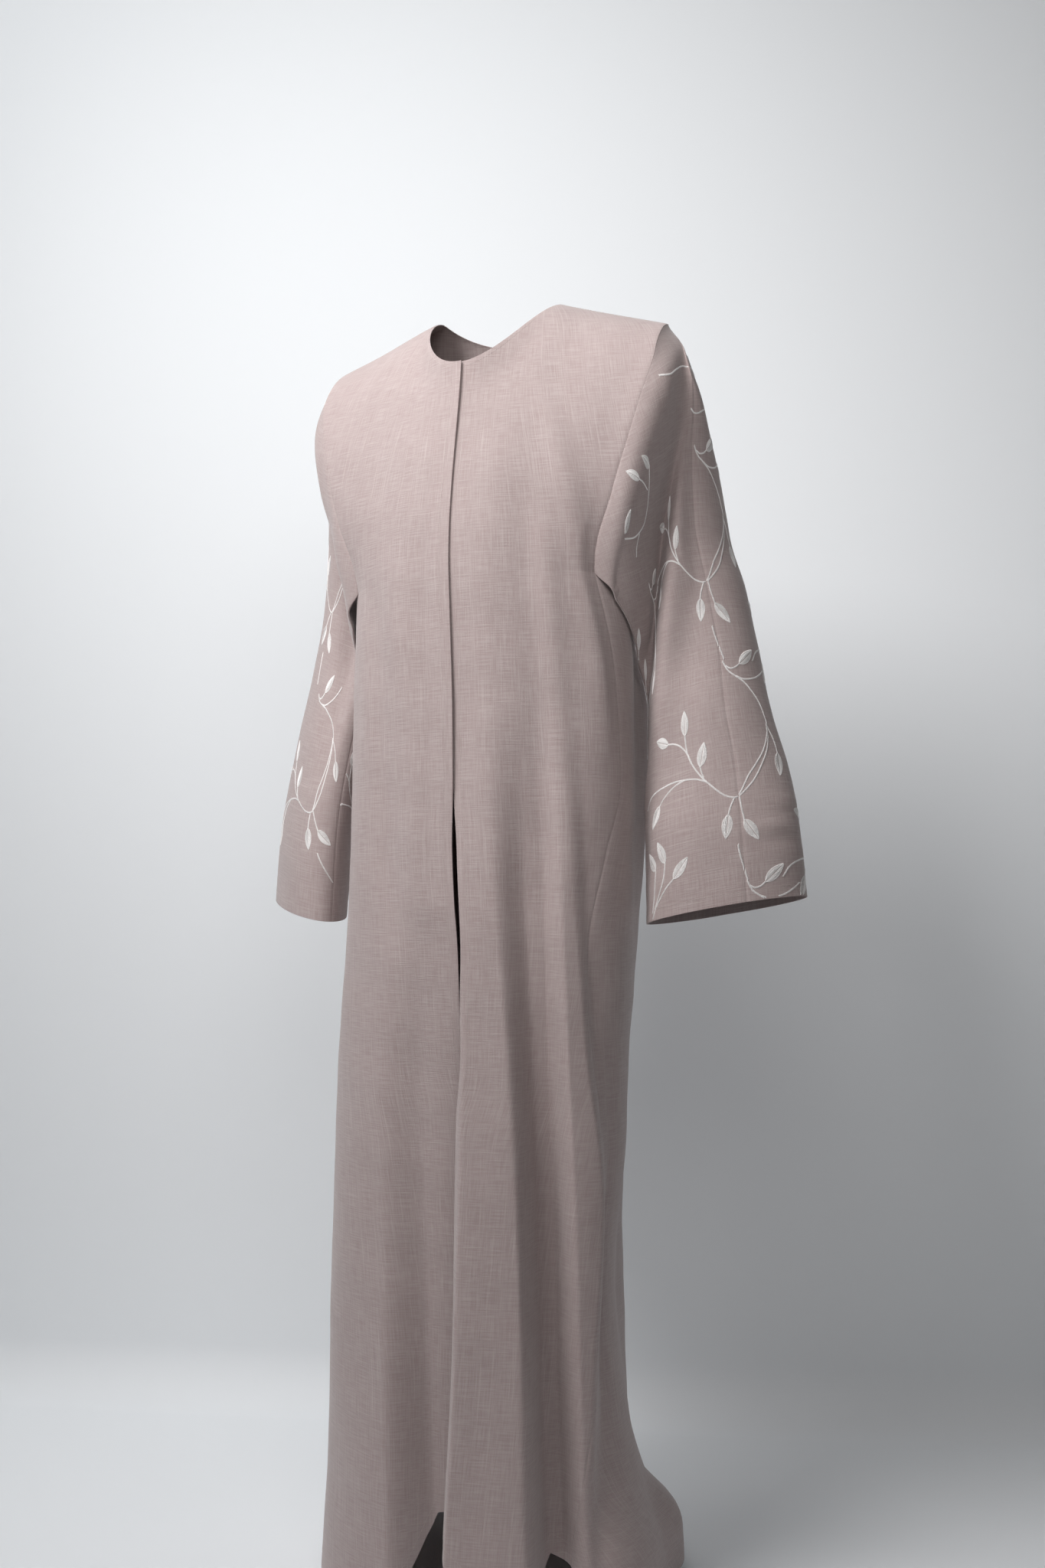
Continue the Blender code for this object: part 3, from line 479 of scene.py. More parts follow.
rightSleeve = table(
    "height  middleX  middleY  halfWidth  halfDepth  turn  overSeam  underSeam",
    (-0.740, 0.2740, 0.012, 0.1000, 0.042, 140.0, 75.0, 200.0),
    (-0.618, 0.2680, 0.020, 0.0930, 0.044, 140.0, 75.0, 195.0),
    (-0.487, 0.2490, 0.035, 0.0760, 0.046, 138.0, 75.0, 190.0),
    (-0.410, 0.2340, 0.044, 0.0640, 0.047, 135.0, 75.0, 190.0),
    (-0.336, 0.2190, 0.046, 0.0540, 0.048, 130.0, 75.0, 185.0),
    (-0.200, 0.2080, 0.034, 0.0400, 0.048, 115.0, 72.0, 180.0),
    (-0.120, 0.2080, 0.018, 0.0250, 0.044, 105.0, 62.0, 180.0),
    (-0.041, 0.2010, 0.000, 0.0130, 0.030, 105.0, 60.0, 180.0),
)

# troughs (or ridges, where "rise" is positive) down one half of a sleeve
sleeveCreases = {
    "front left deep crease": table(
        "height  across  width  rise",
        (-0.450, 0.176, 0.024, 0.000),
        (-0.398, 0.182, 0.024, -0.006),
        (-0.331, 0.191, 0.024, -0.008),
        (-0.242, 0.206, 0.024, -0.008),
        (-0.176, 0.219, 0.022, -0.006),
        (-0.110, 0.231, 0.020, 0.000),
    ),
    "front left panel fold": table(
        "height  across  width  rise",
        (-0.580, 0.196, 0.030, 0.000),
        (-0.460, 0.199, 0.030, 0.012),
        (-0.376, 0.210, 0.028, 0.018),
        (-0.300, 0.220, 0.026, 0.014),
        (-0.230, 0.228, 0.024, 0.008),
        (-0.160, 0.234, 0.020, 0.000),
    ),
    "front left roll": table(
        "height  across  width  rise",
        (-0.430, 0.146, 0.024, 0.000),
        (-0.360, 0.158, 0.026, 0.008),
        (-0.280, 0.176, 0.026, 0.010),
        (-0.200, 0.200, 0.024, 0.010),
        (-0.120, 0.214, 0.020, 0.006),
        (-0.080, 0.220, 0.016, 0.000),
    ),
    "back left fold": table(
        "height  across  width  rise",
        (-0.740, 0.262, 0.034, -0.012),
        (-0.500, 0.240, 0.032, -0.014),
        (-0.250, 0.205, 0.026, -0.008),
        (-0.120, 0.200, 0.020, 0.000),
    ),
    "front right fold": table(
        "height  across  width  rise",
        (-0.560, 0.220, 0.024, 0.000),
        (-0.400, 0.205, 0.024, -0.010),
        (-0.250, 0.195, 0.022, -0.014),
        (-0.090, 0.200, 0.016, 0.000),
    ),
    "back right fold": table(
        "height  across  width  rise",
        (-0.740, 0.290, 0.030, -0.010),
        (-0.500, 0.262, 0.030, -0.014),
        (-0.250, 0.215, 0.026, -0.008),
        (-0.120, 0.200, 0.020, 0.000),
    ),
}

sleeveSizes = {
    "rows": 120,               # rows of points, armhole to cuff
    "coarseRows": 15,          # the pattern's own divisions, as the solids have them
    "clearance": 0.006,
    "frontClearance": 0.015,
    "standOff": 0.018,
    "underarmPlain": 4,
    "cuffHeight": -0.703,
    "cuffEndRise": 0.015,
    "cuffFrontRise": 0.006,
    "edge": 0.006,             # how near an end the closer steps reach, as a share
    "seamLevel": -0.74,        # the height whose seam angles set the cuff's slope
    "fall": 1.2,               # above 1, the rows lie closer to the armhole
    "hold": (0.16, 0.32, 0.7),  # how soon the sleeve becomes a tube, shoulder to underarm
    "standOffFade": 0.10,      # shares of the sleeve's length
    "fallIn": (0.6, 0.1, 0.15),
    "clearanceFade": 0.06,
    "bulge": 0.25,
    "pushKept": 0.7,           # how much of a push reaches the next of the pattern's divisions
}


def sleeveRelief(cloth, side, isFront, across, down):
    half = ("front " if isFront else "back ") + ("left" if side > 0 else "right")
    facing = -1 if isFront else 1
    cells = bodySizes["armholeCells"]
    edgeFree = smooth(across * cells / 2) * smooth((1 - across) * cells / sleeveSizes["underarmPlain"])
    edgeFree = edgeFree[None, :] * smooth(down * sleeveSizes["coarseRows"] / 2)
    push = np.zeros(cloth.shape[:2])
    for name, crease in sleeveCreases.items():
        if name.startswith(half):
            height = cloth[..., 2]
            off = side * cloth[..., 0] - read(crease, "across", height)
            off = off / read(crease, "width", height)
            push = push + read(crease, "rise", height) * np.exp(-2 * off * off)
    return np.stack([0 * push, facing * push * edgeFree, 0 * push], -1)


def clearOfBody(cloth, side, down, clearance, columnShare):
    height = cloth[..., 2]
    off = cloth[..., 1] - read(bodySections, "middleY", height)
    depth = bodyDepth(off < 0, height)
    reach = read(bodySections, "halfWidth", height) * np.sqrt(np.clip(1 - (off / depth) ** 2, 0, 1))
    least = read(bodySections, "middleX", height) * side + reach + clearance
    push = np.where(down > 0, np.clip(least - side * cloth[..., 0], 0, None), 0)
    keep = sleeveSizes["pushKept"] ** (np.diff(columnShare) * bodySizes["armholeCells"])
    for j in range(push.shape[1] - 2, -1, -1):
        push[:, j] = np.maximum(push[:, j], keep[j] * push[:, j + 1])
    moved = cloth.copy()
    moved[..., 0] += side * push
    return moved


def sleeveCloth(source, side, armhole, across, isFront):
    sizes = sleeveSizes
    down = nearEdges(sizes["rows"], sizes["edge"])[:, None]
    over, under = (read(source, seam, sizes["seamLevel"]) for seam in ("overSeam", "underSeam"))
    sweep = (under - over) if isFront else -(over + 360 - under)
    cuffTurn = np.radians(over + sweep * across)
    cuff = sizes["cuffHeight"] + sizes["cuffEndRise"] * np.cos(cuffTurn)
    cuff = cuff + sizes["cuffFrontRise"] * np.sin(cuffTurn)
    height = armhole[:, 2] + (cuff - armhole[:, 2]) * down ** sizes["fall"]
    over, under = (read(source, seam, height) for seam in ("overSeam", "underSeam"))
    sweep = (under - over) if isFront else -(over + 360 - under)
    ring = np.radians(over + sweep * across)
    turn = np.radians(read(source, "turn", height))
    along = read(source, "halfWidth", height) * np.cos(ring)
    out = read(source, "halfDepth", height) * np.sin(ring)
    x = read(source, "middleX", height) + along * np.sin(turn) - out * np.cos(turn)
    y = read(source, "middleY", height) - along * np.cos(turn) - out * np.sin(turn)
    tube = np.stack([side * x, y, height], -1)
    most, start, run = sizes["fallIn"]
    fallIn = 1 if isFront else 1 - most * smooth((down - start) / run)
    standOff = side * sizes["standOff"] * smooth(down / sizes["standOffFade"]) * fallIn
    hang = np.stack([armhole[:, 0] + standOff, armhole[:, 1] + 0 * height, height], -1)
    least, more, power = sizes["hold"]
    hold = smooth(down / (least + more * across ** power))[..., None]
    cloth = hang * (1 - hold) + tube * hold
    cloth = cloth + sleeveRelief(cloth, side, isFront, across, down)
    clearance = sizes["clearance"] * smooth(down / sizes["clearanceFade"])
    if isFront:
        bulge = np.sin(np.clip((1 - across) / sizes["bulge"], 0, 1) * math.pi / 2)
        clearance = clearance + sizes["frontClearance"] * smooth(down / sizes["standOffFade"]) * bulge
    return clearOfBody(cloth, side, down, clearance, across)


def allPanels():
    left, right, rear = frontCloth(1), frontCloth(-1), backCloth()
    upRows = len(armholeSteps())
    seamRows = left.shape[0] - upRows + 1
    rear[:seamRows, 0] = left[:seamRows, -1]
    rear[:seamRows, -1] = right[:seamRows, -1]
    panels = {"front_left": (left, 1), "front_right": (right, -1), "back": (rear, 1)}
    across = 1 - armholeSteps()[::-1]
    for name, side, source, fore, aft in (
            ("left", 1, leftSleeve, left[-upRows:, -1], rear[-upRows:, 0]),
            ("right", -1, rightSleeve, right[-upRows:, -1], rear[-upRows:, -1])):
        frontHalf = sleeveCloth(source, side, fore[::-1], across, True)
        backHalf = sleeveCloth(source, side, aft[::-1], across, False)
        backHalf[:, 0], backHalf[:, -1] = frontHalf[:, 0], frontHalf[:, -1]
        panels["sleeve_front_" + name] = (frontHalf, side)
        panels["sleeve_back_" + name] = (backHalf, -side)
    return panels


# cloth walls
clothSizes = {
    "thickness": 0.0010,
    "turnedHem": 0.0007,       # extra inside where an edge is turned under
    "seamDepth": 0.0005,
    "seamWidth": 0.0018,
    "ripple": 0.0006,
    "rippleFade": 0.03,        # metres from an edge
    "turnedStep": 0.001,
    "foldEnds": 0.12,          # metres over which a soft fold fades at its ends and at the sides
    "foldSides": 0.02,
}


def gridNormals(grid, outward):
    normal = np.cross(np.gradient(grid, axis=1), np.gradient(grid, axis=0))
    return normal / np.linalg.norm(normal, axis=-1, keepdims=True) * outward


def lengthsAlong(grid, axis):
    step = np.linalg.norm(np.diff(grid, axis=axis), axis=-1)
    zero = np.zeros((1, grid.shape[1])) if axis == 0 else np.zeros((grid.shape[0], 1))
    return np.concatenate([zero, np.cumsum(step, axis=axis)], axis=axis)


def edgeDistances(grid):
    # metres from the low row, the high row, the first column and the last column
    up, over = lengthsAlong(grid, 0), lengthsAlong(grid, 1)
    return {"low": up, "high": up[-1:] - up, "first": over, "last": over[:, -1:] - over}


def rippled(grid, normal, strength):
    # slow, shallow unevenness, as hanging cloth has
    x, y, z = grid[..., 0], grid[..., 1], grid[..., 2]
    wave = (np.sin(41 * x + 9 * z + 1.3) * np.sin(23 * z - 31 * y)
            + 0.7 * np.sin(67 * x - 14 * z + 2.1)
            + 0.5 * np.sin(53 * y + 17 * z) + 0.4 * np.sin(88 * z + 21 * x + 0.6))
    return grid + normal * (strength * wave)[..., None]


# which sides of each panel are sewn to another and which are turned under, with the width turned
sleeveNames = ("sleeve_front_left", "sleeve_back_left", "sleeve_front_right", "sleeve_back_right")
panelEdges = {
    "front_left": {"sewn": ("last",), "turned": {"first": 0.013, "low": 0.020}},
    "front_right": {"sewn": ("last",), "turned": {"first": 0.013, "low": 0.020}},
    "back": {"sewn": ("first", "last"), "turned": {"low": 0.020}},
}
for name in sleeveNames:
    panelEdges[name] = {"sewn": ("low", "first", "last"), "turned": {"high": 0.013}}

# short soft creases: two edges with the distance from each, the half lengths that way, and the rise
shortCreases = {
    "sleeve_back_left": (("high", 0.078, "first", 0.036, 0.006, 0.030, 0.0016),
                         ("high", 0.062, "first", 0.050, 0.006, 0.026, -0.0013),
                         ("high", 0.104, "first", 0.060, 0.007, 0.022, 0.0012)),
    "sleeve_front_left": (("high", 0.060, "first", 0.110, 0.014, 0.018, -0.0020),
                          ("high", 0.150, "first", 0.150, 0.030, 0.010, 0.0018)),
}

# long soft folds of the fronts: metres from the front edge and height at the top, the same at the
# foot, the half width and the rise
softFolds = {
    "front_left": ((0.094, -0.24, 0.107, -0.68, 0.022, -0.0040),
                   (0.112, -0.30, 0.132, -0.66, 0.014, 0.0025),
                   (0.132, -0.15, 0.180, -0.50, 0.017, 0.0040),
                   (0.050, -0.30, 0.046, -0.72, 0.018, 0.0018)),
    "front_right": ((0.114, -0.34, 0.097, -0.72, 0.020, -0.0038),
                    (0.070, -0.36, 0.046, -0.70, 0.020, 0.0022),
                    (0.030, -0.20, 0.028, -0.66, 0.012, -0.0012)),
}


def foldRise(name, grid, away):
    total = np.zeros(grid.shape[:2])
    for start, top, end, foot, half, rise in softFolds.get(name, ()):
        z = grid[..., 2]
        line = start + (end - start) * np.clip((top - z) / (top - foot), 0, 1)
        fade = smooth(np.minimum(top - z, z - foot) / clothSizes["foldEnds"] + 0.5)
        total += rise * fade * np.exp(-((away["first"] - line) / half) ** 2)
    return total * smooth(np.minimum(away["first"], away["last"]) / clothSizes["foldSides"])


def wallPoints(name, grid, outward):
    sizes = clothSizes
    normal = gridNormals(grid, outward)
    away = edgeDistances(grid)
    edges = panelEdges[name]
    nearest = np.minimum.reduce(list(away.values()))
    grid = rippled(grid, normal, sizes["ripple"] * smooth(nearest / sizes["rippleFade"]))
    grid = grid + normal * foldRise(name, grid, away)[..., None]
    for edge, off, other, otherOff, half, otherHalf, rise in shortCreases.get(name, ()):
        near = np.exp(-((away[edge] - off) / half) ** 2 - ((away[other] - otherOff) / otherHalf) ** 2)
        grid = grid + normal * (rise * near)[..., None]
    sink = np.zeros(grid.shape[:2])
    for side in edges["sewn"]:
        sink = np.maximum(sink, np.exp(-(away[side] / sizes["seamWidth"]) ** 2))
    grid = grid - normal * (sizes["seamDepth"] * sink)[..., None]
    turned = np.zeros(grid.shape[:2])
    for side, width in edges["turned"].items():
        turned = np.maximum(turned, smooth((width - away[side]) / sizes["turnedStep"] + 0.5))
    half = sizes["thickness"] / 2
    outer = grid + normal * half
    inner = grid - normal * (half + sizes["turnedHem"] * turned)[..., None]
    return outer, inner, away


def wallObject(name, outer, inner, outward, uv):
    rows, cols = outer.shape[:2]
    total = rows * cols
    index = np.arange(total).reshape(rows, cols)
    a, b, c, d = index[:-1, :-1], index[:-1, 1:], index[1:, 1:], index[1:, :-1]
    front = np.stack([a, b, c, d], -1).reshape(-1, 4)
    rim = np.concatenate([index[0, :-1], index[:-1, -1], index[-1, :0:-1], index[:0:-1, 0]])
    ahead = np.roll(rim, -1)
    sides = np.stack([ahead, rim, rim + total, ahead + total], -1)
    faces = np.concatenate([front, front[:, ::-1] + total, sides])
    if outward < 0:
        faces = faces[:, ::-1]
    mesh = bpy.data.meshes.new(name)
    points = np.vstack([outer.reshape(-1, 3), inner.reshape(-1, 3)])
    mesh.from_pydata(points.tolist(), [], faces.tolist())
    layer = mesh.uv_layers.new(name="cloth")
    corners = np.zeros(len(mesh.loops), dtype=np.int32)
    mesh.loops.foreach_get("vertex_index", corners)
    layer.data.foreach_set("uv", uv.reshape(-1, 2)[corners % total].astype(np.float32).ravel())
    mesh.shade_smooth()
    thing = bpy.data.objects.new(name, mesh)
    bpy.context.scene.collection.objects.link(thing)
    return thing


# cloth material
clothLook = {
    "base": (0.435, 0.364, 0.354, 1.0),
    "slub": (0.560, 0.490, 0.475, 1.0),
    "shade": (0.350, 0.272, 0.264, 1.0),
    "roughness": 0.86,
    "sheen": 0.25,
    "sheenRoughness": 0.5,
    "specular": 0.25,
    "bumpStrength": 0.35,
    "bumpDistance": 0.0004,
    # streaks for each metre across and along the cloth
    "warp": {"perMetre": (900, 36), "detail": 2.0, "offset": 3.1},
    "weft": {"perMetre": (40, 900), "detail": 2.0, "offset": 7.7},
    "blotch": {"perMetre": (14, 9), "detail": 3.0, "offset": 1.9},
    "longSlub": {"perMetre": (700, 7), "detail": 1.0, "offset": 12.3},
    "crossSlub": {"perMetre": (12, 700), "detail": 1.0, "offset": 5.9},
    "grainFrom": (0.30, 0.70),  # where the noise starts to show and where it shows in full
    "longSlubFrom": (0.58, 0.80),
    "crossSlubFrom": (0.60, 0.80),
    "longSlubShare": 0.32,
    "crossSlubShare": 0.19,
    "blotchShare": 0.25,
    "slubHeight": 0.8,
}


def link(tree, fromSocket, toSocket):
    tree.links.new(fromSocket, toSocket)


def newNode(tree, kind, **values):
    node = tree.nodes.new(kind)
    for key, value in values.items():
        setattr(node, key, value)
    return node


def mathNode(tree, operation, first, second=None):
    node = newNode(tree, "ShaderNodeMath", operation=operation)
    for socket, value in zip(node.inputs, (first, second)):
        if value is None:
            continue
        if isinstance(value, (int, float)):
            socket.default_value = value
        else:
            link(tree, value, socket)
    return node.outputs[0]


def streaks(tree, uv, perMetre, detail, offset):
    # noise drawn out along the second axis
    mapping = newNode(tree, "ShaderNodeMapping")
    mapping.inputs["Scale"].default_value = (*perMetre, 1.0)
    mapping.inputs["Location"].default_value = (offset, offset * 1.7, 0.0)
    link(tree, uv, mapping.inputs["Vector"])
    noise = newNode(tree, "ShaderNodeTexNoise", noise_dimensions="2D")
    noise.inputs["Scale"].default_value = 1.0
    noise.inputs["Detail"].default_value = detail
    link(tree, mapping.outputs["Vector"], noise.inputs["Vector"])
    return noise.outputs["Fac"]


def above(tree, value, low, high):
    node = newNode(tree, "ShaderNodeMapRange", interpolation_type="SMOOTHSTEP")
    node.inputs["From Min"].default_value = low
    node.inputs["From Max"].default_value = high
    link(tree, value, node.inputs["Value"])
    return node.outputs["Result"]


def mixColour(tree, factor, first, second):
    node = newNode(tree, "ShaderNodeMix", data_type="RGBA")
    for key, value in (("Factor_Float", factor), ("A_Color", first), ("B_Color", second)):
        socket = next(s for s in node.inputs if s.identifier == key)
        if isinstance(value, (tuple, int, float)):
            socket.default_value = value
        else:
            link(tree, value, socket)
    return next(s for s in node.outputs if s.identifier == "Result_Color")


def slubWeaveGroup():
    tree = bpy.data.node_groups.new("slubWeave", "ShaderNodeTree")
    for label, kind, value in (
            ("Cloth Position", "NodeSocketVector", None),
            ("Base", "NodeSocketColor", clothLook["base"]),
            ("Slub", "NodeSocketColor", clothLook["slub"]),
            ("Shade", "NodeSocketColor", clothLook["shade"])):
        socket = tree.interface.new_socket(label, in_out="INPUT", socket_type=kind)
        if value:
            socket.default_value = value
    tree.interface.new_socket("Color", in_out="OUTPUT", socket_type="NodeSocketColor")
    tree.interface.new_socket("Height", in_out="OUTPUT", socket_type="NodeSocketFloat")
    source = newNode(tree, "NodeGroupInput")
    result = newNode(tree, "NodeGroupOutput")
    uv = source.outputs["Cloth Position"]
    look = clothLook
    warp = streaks(tree, uv, **look["warp"])
    weft = streaks(tree, uv, **look["weft"])
    blotch = streaks(tree, uv, **look["blotch"])
    grain = mathNode(tree, "MULTIPLY", mathNode(tree, "ADD", warp, weft), 0.5)
    grain = above(tree, grain, *look["grainFrom"])
    longSlub = above(tree, streaks(tree, uv, **look["longSlub"]), *look["longSlubFrom"])
    crossSlub = above(tree, streaks(tree, uv, **look["crossSlub"]), *look["crossSlubFrom"])
    slub = mathNode(tree, "MAXIMUM", mathNode(tree, "MULTIPLY", longSlub, look["longSlubShare"]),
                    mathNode(tree, "MULTIPLY", crossSlub, look["crossSlubShare"]))
    ground = mixColour(tree, grain, source.outputs["Shade"], source.outputs["Base"])
    paler = mathNode(tree, "MULTIPLY", blotch, look["blotchShare"])
    ground = mixColour(tree, paler, ground, source.outputs["Base"])
    colour = mixColour(tree, slub, ground, source.outputs["Slub"])
    link(tree, colour, result.inputs["Color"])
    weave = mathNode(tree, "ADD", grain, mathNode(tree, "MULTIPLY", slub, look["slubHeight"]))
    link(tree, weave, result.inputs["Height"])
    return tree


def clothMaterial(name, weaveGroup):
    material = bpy.data.materials.new(name)
    material.use_nodes = True
    tree = material.node_tree
    shader = tree.nodes["Principled BSDF"]
    shader.inputs["Roughness"].default_value = clothLook["roughness"]
    shader.inputs["Sheen Weight"].default_value = clothLook["sheen"]
    shader.inputs["Sheen Roughness"].default_value = clothLook["sheenRoughness"]
    shader.inputs["Specular IOR Level"].default_value = clothLook["specular"]
    position = newNode(tree, "ShaderNodeUVMap", uv_map="cloth")
    group = newNode(tree, "ShaderNodeGroup", node_tree=weaveGroup)
    link(tree, position.outputs["UV"], group.inputs["Cloth Position"])
    link(tree, group.outputs["Color"], shader.inputs["Base Color"])
    bump = newNode(tree, "ShaderNodeBump")
    bump.inputs["Strength"].default_value = clothLook["bumpStrength"]
    bump.inputs["Distance"].default_value = clothLook["bumpDistance"]
    link(tree, group.outputs["Height"], bump.inputs["Height"])
    link(tree, bump.outputs["Normal"], shader.inputs["Normal"])
    return material


# building the panels
weaveGroup = slubWeaveGroup()
panels = allPanels()
surfaces, lengths, pieces = {}, {}, {}
for name, (grid, outward) in panels.items():
    outer, inner, away = wallPoints(name, grid, outward)
    isSleeve = name.startswith("sleeve")
    across = away["first"]
    if name == "back":
        across = across - across[:, across.shape[1] // 2, None]
    uv = np.stack([-away["high"], across] if isSleeve else [across, outer[..., 2]], -1)
    piece = wallObject(name + "_cloth", outer, inner, outward, uv)
    piece.data.materials.append(clothMaterial(name + "_weave", weaveGroup))
    surfaces[name] = (outer, gridNormals(outer, outward))
    lengths[name] = edgeDistances(outer)
    pieces[name] = piece
    print("cloth panel", name, len(piece.data.polygons))

# thread: satin stitches and topstitching
threadSizes = {
    "sides": 4,
    "satinRadius": 0.00030,
    "satinLift": 0.00042,       # how far the middle of a stitch stands above the cloth
    "seamRadius": 0.00019,
    "seamLift": 0.00012,
    "vineWidth": 0.0018,
    "vinePitch": 0.00080,
    "outlineWidth": 0.0012,
    "leafPitch": 0.00078,
    "leafWidth": 0.011,
    "vineSlant": 0.9,           # how far a stitch leans along its line, for each unit across
    "outlineSlant": 0.7,
    "satinStart": 0.0012,       # how far a leaf's stitches start behind the place that they reach
    "satinLean": 0.55,
    "midribGap": 0.0003,
    "edgeMargin": 0.001,
    "missLimit": 0.0006,        # a stitch that finds no cloth this near is left out
    "satinUneven": 0.25,
    "seamUneven": 0.1,
    "leafRound": (0.82, 0.85),  # powers: where the leaf is fullest, and how full it is
    "outlinePoints": 11,
    "satinArch": (-0.1, 1.0, -0.1),  # a stitch dips into the cloth at its ends, in lifts
    "seamArch": (-0.6, 1.0, -0.6),
    "searchSteps": 40,
    "searchReach": 8,           # rows or columns that one step may move
    "splineSteps": 24,
    "edgeEnds": (0.002, 0.004),  # where a row down a front edge ends, from the hem and from the top
    "hemEnds": 0.003,
    "stitch": 0.0028,
    "gap": 0.0006,
    "neckReach": 1.45,          # the neck's stitching, in half widths of the neck
    "seed": 4,
}


def threadTree():
    # a mesh of short edge chains, one for each stitch, becomes round thread
    tree = bpy.data.node_groups.new("roundThread", "GeometryNodeTree")
    tree.interface.new_socket("Stitches", in_out="INPUT", socket_type="NodeSocketGeometry")
    radius = tree.interface.new_socket("Radius", in_out="INPUT", socket_type="NodeSocketFloat")
    sides = tree.interface.new_socket("Sides", in_out="INPUT", socket_type="NodeSocketInt")
    uneven = tree.interface.new_socket("Unevenness", in_out="INPUT", socket_type="NodeSocketFloat")
    material = tree.interface.new_socket("Material", in_out="INPUT", socket_type="NodeSocketMaterial")
    tree.interface.new_socket("Thread", in_out="OUTPUT", socket_type="NodeSocketGeometry")
    source = newNode(tree, "NodeGroupInput")
    result = newNode(tree, "NodeGroupOutput")
    toCurve = newNode(tree, "GeometryNodeMeshToCurve")
    link(tree, source.outputs["Stitches"], toCurve.inputs["Mesh"])
    vary = newNode(tree, "FunctionNodeRandomValue", data_type="FLOAT")
    low = mathNode(tree, "SUBTRACT", 1.0, source.outputs["Unevenness"])
    link(tree, low, vary.inputs[2])
    vary.inputs[3].default_value = 1.0
    vary.inputs["Seed"].default_value = threadSizes["seed"]
    thick = mathNode(tree, "MULTIPLY", source.outputs["Radius"], vary.outputs[1])
    ring = newNode(tree, "GeometryNodeCurvePrimitiveCircle")
    ring.inputs["Radius"].default_value = 1.0
    link(tree, source.outputs["Sides"], ring.inputs["Resolution"])
    toMesh = newNode(tree, "GeometryNodeCurveToMesh")
    link(tree, toCurve.outputs["Curve"], toMesh.inputs["Curve"])
    link(tree, thick, toMesh.inputs["Scale"])
    link(tree, ring.outputs["Curve"], toMesh.inputs["Profile Curve"])
    toMesh.inputs["Fill Caps"].default_value = True
    real = newNode(tree, "GeometryNodeRealizeInstances")
    link(tree, toMesh.outputs["Mesh"], real.inputs["Geometry"])
    dressed = newNode(tree, "GeometryNodeSetMaterial")
    link(tree, real.outputs["Geometry"], dressed.inputs["Geometry"])
    link(tree, source.outputs["Material"], dressed.inputs["Material"])
    link(tree, dressed.outputs["Geometry"], result.inputs["Thread"])
    return tree, {"radius": radius.identifier, "sides": sides.identifier,
                  "uneven": uneven.identifier, "material": material.identifier}


threadNodes, threadInputs = threadTree()


def threadMaterial(name, colour, roughness, sheen):
    material = bpy.data.materials.new(name)
    material.use_nodes = True
    shader = material.node_tree.nodes["Principled BSDF"]
    shader.inputs["Base Color"].default_value = colour
    shader.inputs["Roughness"].default_value = roughness
    shader.inputs["Sheen Weight"].default_value = sheen
    return material


def threadObject(name, chains, radius, uneven, material):
    # chains: stitches x points x 3
    count, length = chains.shape[:2]
    index = np.arange(count * length).reshape(count, length)
    edges = np.stack([index[:, :-1], index[:, 1:]], -1).reshape(-1, 2)
    mesh = bpy.data.meshes.new(name)
    mesh.from_pydata(chains.reshape(-1, 3).tolist(), edges.tolist(), [])
    carrier = bpy.data.objects.new(name + "_chains", mesh)
    bpy.context.scene.collection.objects.link(carrier)
    modifier = carrier.modifiers.new("thread", "NODES")
    modifier.node_group = threadNodes
    modifier[threadInputs["radius"]] = radius
    modifier[threadInputs["sides"]] = threadSizes["sides"]
    modifier[threadInputs["uneven"]] = uneven
    modifier[threadInputs["material"]] = material
    graph = bpy.context.evaluated_depsgraph_get()
    shape = bpy.data.meshes.new_from_object(carrier.evaluated_get(graph))
    bpy.data.objects.remove(carrier, do_unlink=True)
    shape.name = name
    shape.shade_smooth()
    thing = bpy.data.objects.new(name, shape)
    bpy.context.scene.collection.objects.link(thing)
    return thing


def sample(values, row, column):
    i = np.clip(row.astype(int), 0, values.shape[0] - 2)
    j = np.clip(column.astype(int), 0, values.shape[1] - 2)
    s, t = row - i, column - j
    if values.ndim == 3:
        s, t = s[..., None], t[..., None]
    return ((values[i, j] * (1 - s) + values[i + 1, j] * s) * (1 - t)
            + (values[i, j + 1] * (1 - s) + values[i + 1, j + 1] * s) * t)


def onCloth(name, alongKey, across, along, lift):
    # points of the cloth's face at metres from its first column and from its low or high row
    face, normals = surfaces[name]
    wide, tall = lengths[name]["first"], lengths[name][alongKey]
    widePer, tallPer = np.gradient(wide, axis=1), np.gradient(tall, axis=0)
    row = np.full(across.shape, face.shape[0] / 2.0)
    column = np.full(across.shape, face.shape[1] / 2.0)
    reach = threadSizes["searchReach"]
    for _ in range(threadSizes["searchSteps"]):
        missWide = across - sample(wide, row, column)
        missTall = along - sample(tall, row, column)
        column = column + np.clip(missWide / sample(widePer, row, column), -reach, reach)
        column = np.clip(column, 0, face.shape[1] - 1.001)
        row = row + np.clip(missTall / sample(tallPer, row, column), -reach, reach)
        row = np.clip(row, 0, face.shape[0] - 1.001)
    miss = np.hypot(across - sample(wide, row, column), along - sample(tall, row, column))
    return sample(face, row, column) + sample(normals, row, column) * lift[..., None], miss


